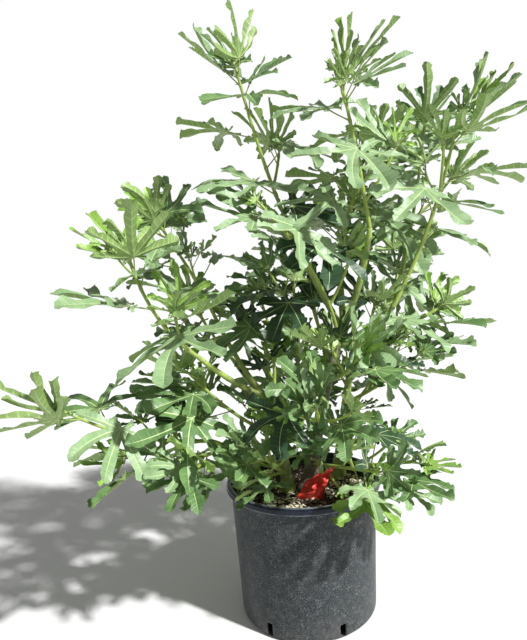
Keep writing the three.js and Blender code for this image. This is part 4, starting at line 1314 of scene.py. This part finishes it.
mixShape = {
    "top": growth["soilTop"], "crown": 8, "crownFrom": 118, "crownOver": 38, "sunk": 1.5,
    "lump": 3.0, "lumpSize": 15.0, "fineLump": 1.3, "fineSize": 5.0,
    "clearance": 0.4, "wallGap": 1.6, "sides": 120, "rings": 60, "rimUnder": 4, "bottomIn": 30,
    "setBack": ((18, 16), (44, 14)), "wallFrom": 60,  # heights, and how far it stands back from the slots
}


def soilHeight(x, y):  # the mound, falling off by r^2, with two sizes of lumps
    rule = mixShape
    places = np.stack([x, y, 0 * x], -1)
    coarse = rule["lump"] * lumps(places / rule["lumpSize"], 3)
    fine = rule["fineLump"] * lumps(places / rule["fineSize"], 4)
    fall = np.clip((np.hypot(x, y) - rule["crownFrom"]) / rule["crownOver"], 0, 1) ** 2
    return rule["top"] - rule["crown"] * fall - rule["sunk"] + coarse + fine


def soilPart():
    rule, holder = mixShape, potShape
    foot, under = holder["footBevel"], holder["height"] - holder["lipHeight"]

    def inner(z):  # the radius inside the wall at a height
        outer = mix(holder["baseRadius"], holder["shoulderRadius"], (z - foot) / (under - foot))
        return outer - holder["wall"] - rule["clearance"] - rule["wallGap"]

    floorTop = holder["floor"] + rule["clearance"]
    rim = rule["top"] - rule["crown"] - rule["rimUnder"]
    outside = [(0, floorTop), (holder["baseRadius"] - rule["bottomIn"], floorTop)]
    outside += [(inner(z) - back, z) for z, back in rule["setBack"]]
    outside += [(inner(z), z) for z in np.linspace(rule["wallFrom"], rim, 6)]
    top = [(inner(rim) * share, rim) for share in np.linspace(0.99, 0.02, rule["rings"])] + [(0, rim)]
    profile = np.array(outside + top)
    onTop = np.repeat(np.arange(len(profile) - 2)[:, None] + 1 >= len(outside), rule["sides"], axis=1)

    def settle(radius, height, angle):
        return radius, np.where(onTop, soilHeight(radius * np.cos(angle), radius * np.sin(angle)), height)

    part = lathePart(profile, rule["sides"], settle)
    part["points"][-1, 2] = soilHeight(np.zeros(1), np.zeros(1))[0]
    return part


chipFinish = {"bark": 0, "tan": 1, "dark": 2, "straw": 3}
chipShape = {
    "count": 2200, "reach": 155, "seed": 8,
    "drySize": 42, "dryChance": 0.35, "dryFrom": -0.05,
    "paintedSunPatches": [(-54, -92, 50), (112, 10, 46)],  # x, y and reach of two pools of painted sunlight, where most chips are pale straw
    "dryOrPaintedSun": {"tan": 0.2, "straw": 0.8}, "damp": {"bark": 0.5, "tan": 0.2, "dark": 0.3},
    "length": np.array([7.5, 6.5, 8.5, 7.8]),  # of each finish
    "size": (0.5, 1.5), "width": (0.28, 0.7), "thickness": (0.1, 0.28), "uneven": (-0.28, 0.28),
    "rings": np.array([-1.0, -0.45, 0.45, 1.0]), "taper": np.array([0.45, 1, 0.95, 0.4]), "sides": 6,
    "arch": 0.4, "pitch": 0.28, "raised": 0.25,
}


# Chips, (chip, ring, corner): s l / 2 along, w taper cos a / 2 across and t taper sin a / 2 up, arched by
# 0.4 t (1 - s^2), then pitched, turned, and set at the soil's height.
def chipParts():
    rule = chipShape
    chance = np.random.RandomState(rule["seed"])
    count = rule["count"]

    def drawn(key, *shape):
        return chance.uniform(*rule[key], (count, *shape))

    def picked(shares):
        return chance.choice([chipFinish[name] for name in shares], count, p=list(shares.values()))

    radius, angle = rule["reach"] * np.sqrt(chance.uniform(0, 1, count)), chance.uniform(0, 6.283, count)
    x, y = radius * np.cos(angle), radius * np.sin(angle)
    patchy = lumps(np.stack([x, y, 0 * x], -1) / rule["drySize"], 6)
    dryOrPaintedSun = patchy + chance.normal(0, rule["dryChance"], count) > rule["dryFrom"]
    # Painted sunlight: in two pools on the soil most chips are pale straw, as where the mix is dry.
    for patchX, patchY, reach in rule["paintedSunPatches"]:
        dryOrPaintedSun = dryOrPaintedSun | (np.hypot(x - patchX, y - patchY) < reach)
    tone = np.where(dryOrPaintedSun, picked(rule["dryOrPaintedSun"]), picked(rule["damp"]))
    size = rule["length"][tone] * drawn("size")
    wide, thick = size * drawn("width"), size * drawn("thickness")
    sides, s = anglesOf(rule["sides"]), rule["rings"][:, None]
    taper = rule["taper"][:, None] * (1 + drawn("uneven", len(s), len(sides)))
    size, wide, deep = (value[:, None, None] for value in (size, wide, thick))
    long = size * s / 2
    flat = wide * np.cos(sides) / 2 * taper
    tall = deep * np.sin(sides) / 2 * taper + deep * rule["arch"] * (1 - s**2)
    turn, pitch = chance.uniform(0, 6.283, (count, 1, 1)), chance.normal(0, rule["pitch"], (count, 1, 1))
    far, tall = long * np.cos(pitch) - tall * np.sin(pitch), long * np.sin(pitch) + tall * np.cos(pitch)
    base = soilHeight(x, y) + thick * rule["raised"]
    points = np.stack([
        x[:, None, None] + far * np.cos(turn) - flat * np.sin(turn),
        y[:, None, None] + far * np.sin(turn) + flat * np.cos(turn),
        base[:, None, None] + tall,
    ], -1)
    pattern = np.stack([0.2 * tone + 0.1, chance.uniform(0, 1, count)], -1)  # u by its finish, v its own
    pattern = np.broadcast_to(pattern[:, None, None], (count, len(s), len(sides), 2))
    chips = zip(points, pattern, tone)
    return joined([ringPart(chip, chip[[0, -1]].mean(1), own, finish) for chip, own, finish in chips])


mixLook = {  # two colours, grain scale, roughness and relief
    # The mix's colours are near black: partly the damp mix's own colour, partly painted shade, so that the
    # drain slots, which look onto it, are as dark as the shade inside a pot.
    "potting_mix": ((0.012, 0.008, 0.006), (0.045, 0.030, 0.020), 150, 0.92, 0.9),
    "chip_bark": ((0.060, 0.035, 0.020), (0.115, 0.068, 0.038), 240, 0.85, 0.5),
    "chip_tan": ((0.27, 0.19, 0.11), (0.40, 0.30, 0.19), 260, 0.85, 0.4),
    "chip_dark": ((0.022, 0.016, 0.012), (0.055, 0.037, 0.026), 240, 0.9, 0.5),
    "chip_straw": ((0.68, 0.60, 0.42), (0.82, 0.75, 0.56), 300, 0.8, 0.3),
}


def grainMaterial(name, colour, other, scale, roughness, strength):
    material, tree, shader = newMaterial(name, roughness)
    place = objectPlace(tree)
    grain = noiseOf(tree, place, scale, 5.0, 0.65)
    fine = noiseOf(tree, place, scale * 4, 3.0, 0.6)
    layers = [(grain, 0.36, 0.66, 1.0, other), (fine, 0.55, 0.75, 0.5, toned(other, 1.9))]
    height = plus(tree, grain, times(tree, fine, 0.6))
    finishWith(tree, shader, layered(tree, colour, layers), None, height, strength, 0.002)
    return material


mixMaterial, *chipMaterials = [grainMaterial(name, *row) for name, row in mixLook.items()]
newPiece("potting_mix_body", soilPart(), [mixMaterial], ["potting_soil"])
newPiece("potting_mix_chips", chipParts(), chipMaterials, ["potting_soil"])
print("potting mix with", chipShape["count"], "chips")


# The tag is a blank strip of soft plastic, folded over and crumpled.

tagShape = {
    "width": 58, "length": 92, "thickness": 1.0, "lean": 0.9, "foot": (9, -64), "turn": -0.2,
    "rows": 64, "columns": 26, "softBend": 6,
    "narrower": 0.2, "narrowFrom": 40, "narrowOver": 50,
    "crumple": 10.0, "crumpleOver": 25, "creases": ((30, 21), (20, 23), (9, 24)),  # sizes and seeds
    "creaseShares": (0.5, 1.7, 0.8), "creaseMiddle": 0.7,
    "slant": 0.3, "tilt": 0.35, "tiltOver": 30, "drift": 0.42,
    "lifted": 0.3, "sunk": 1.5,
    # The pale colour of the fine noise's patches is partly scuffing and partly painted highlight.
    "colour": ((0.74, 0.032, 0.026), (0.86, 0.10, 0.065)), "scuffAndGlint": (0.86, 0.42, 0.34), "roughness": 0.34,
}


# Its middle surface stands straight for half its length. With p the length s past that, and
# d = p^2 / (p + 6), it then lies d sin lean forward and s - d (1 - cos lean) up. It narrows, tilts and
# drifts to one side on the way, and crumples by lumps that grow with s.
def tagPart():
    rule = tagShape
    length, lean = rule["length"], rule["lean"]
    steps, columns = np.linspace(0, length, rule["rows"]), np.linspace(-0.5, 0.5, rule["columns"])
    s, across = np.meshgrid(steps, columns, indexing="ij")
    s = s * (1 - rule["slant"] * (0.5 - across) * smooth(s / length))
    past = np.maximum(0, s - length / 2)
    soft = past**2 / (past + rule["softBend"])
    flat = across * rule["width"]
    narrowed = 1 - rule["narrower"] * smooth((s - rule["narrowFrom"]) / rule["narrowOver"])
    wide = flat * narrowed + rule["drift"] * s
    tall = s - soft * (1 - np.cos(lean)) + rule["tilt"] * flat * smooth(s / rule["tiltOver"])
    sheet = np.stack([wide, -soft * np.sin(lean), tall], -1)
    broad, sharp, fine = (lumps(sheet / size, seed) for size, seed in rule["creases"])
    shares = rule["creaseShares"]
    crease = shares[0] * broad + shares[1] * np.abs(sharp) + shares[2] * np.abs(fine)
    sheet[..., 1] += rule["crumple"] * (crease - rule["creaseMiddle"]) * smooth(s / rule["crumpleOver"])
    outward = np.cross(np.gradient(sheet, axis=1), np.gradient(sheet, axis=0))
    offset = unit(outward) * rule["thickness"] / 2
    turned = np.stack([sheet - offset, sheet + offset]) @ turnedBy(rule["turn"])
    points = turned.reshape(-1, 3) + [*rule["foot"], mixShape["top"] + rule["lifted"] - rule["sunk"]]
    back, front = index = np.arange(len(points)).reshape(2, rule["rows"], rule["columns"])
    edge = np.concatenate([back[0], back[1:, -1], back[-1, -2::-1], back[-2:0:-1, 0]])
    after = np.roll(edge, -1)
    sheetSize = back.size
    sides = np.stack([edge, after, after + sheetSize, edge + sheetSize], -1)
    quads = np.concatenate([gridFaces(front), gridFaces(back)[:, [0, 3, 2, 1]], sides])
    pattern = np.tile(np.stack([s / length, across + 0.5], -1).reshape(-1, 2), (2, 1))
    return newPart(points, pattern, quads, 0)


def tagMaterial():
    material, tree, shader = newMaterial("tag_red", tagShape["roughness"])
    place, (low, high) = objectPlace(tree), tagShape["colour"]
    cloud = noiseOf(tree, place, 60, 4.0, 0.6)
    # Pale patches where the fine noise is high: partly scuffs on the plastic, partly painted highlights. The
    # same noise makes them rougher.
    scuffAndGlint = noiseOf(tree, place, 320, 4.0, 0.65)
    colour = layered(tree, low, [(cloud, 0.35, 0.7, 1.0, high), (scuffAndGlint, 0.58, 0.75, 0.5, tagShape["scuffAndGlint"])])
    finishWith(tree, shader, colour, spread(tree, scuffAndGlint, 0.4, 0.7, 0.28, 0.5), cloud, 0.3, 0.001)
    return material


newPiece("tag_strip", tagPart(), [tagMaterial()], ["blank_tag"])
print("tag made")


# Floor, light and camera.

studio = {
    "floor": 9.0, "floorColour": (0.78, 0.78, 0.775), "floorRoughness": 0.9,
    "world": 0.28, "backdrop": 1.0,
    "key": {"way": (0.59, -0.45, 0.68), "away": 3, "strength": 5.3, "spread": 3.0},  # spread in degrees
    "camera": {"place": (-0.067, -1.24, 0.79), "pitch": 5.7, "roll": 3.5, "lens": 31.5, "near": 0.05},
}


def placed(name, data, axes, place):  # axes are its own x, y and z
    thing = bpy.data.objects.new(name, data)
    bpy.context.scene.collection.objects.link(thing)
    turned = np.eye(4)
    turned[:3, :3] = np.stack(axes, 1)
    turned[:3, 3] = place
    thing.matrix_world = turned.T.tolist()
    return thing


def addKeyLight():
    rule = studio["key"]
    lamp = bpy.data.lights.new("key_light", "SUN")
    lamp.energy, lamp.angle = rule["strength"], np.radians(rule["spread"])
    view = unit(np.array(rule["way"]))
    side = unit(np.cross(up, view))
    placed("key_light", lamp, [side, np.cross(view, side), view], rule["away"] * view)


def addFloor():
    wide = studio["floor"]
    mesh = bpy.data.meshes.new("floor")
    corners = [(-wide, -wide, 0), (wide, -wide, 0), (wide, wide, 0), (-wide, wide, 0)]
    mesh.from_pydata(corners, [], [(0, 1, 2, 3)])
    material, _, shader = newMaterial("floor_pale", studio["floorRoughness"])
    shader.inputs["Base Color"].default_value = (*studio["floorColour"], 1)
    mesh.materials.append(material)
    floor = bpy.data.objects.new("floor", mesh)
    bpy.context.scene.collection.objects.link(floor)


# The camera looks along +y, tipped down by its pitch, and then rolled about its own axis.
def addCamera():
    rule = studio["camera"]
    pitch, roll = np.radians(rule["pitch"]), np.radians(rule["roll"])
    forward = np.array([0, np.cos(pitch), -np.sin(pitch)])
    right, upward = np.array([1.0, 0, 0]), np.array([0, np.sin(pitch), np.cos(pitch)])
    lens = bpy.data.cameras.new("camera")
    lens.lens, lens.clip_start = rule["lens"], rule["near"]
    side, over = right * np.cos(roll) - upward * np.sin(roll), right * np.sin(roll) + upward * np.cos(roll)
    bpy.context.scene.camera = placed("camera", lens, [side, over, -forward], rule["place"])


def addWorld():  # the backdrop is white to the camera, and its light on the plant is softer
    world = bpy.data.worlds.new("studio")
    world.use_nodes = True
    tree = world.node_tree
    backdrop = tree.nodes["Background"]
    backdrop.inputs["Color"].default_value = (1, 1, 1, 1)
    seen = wire(tree, "LightPath", {}).outputs["Is Camera Ray"]
    tree.links.new(spread(tree, seen, 0, 1, studio["world"], studio["backdrop"]), backdrop.inputs["Strength"])
    bpy.context.scene.world = world
    bpy.context.scene.view_settings.view_transform = "Standard"


addFloor()
addKeyLight()
addWorld()
addCamera()
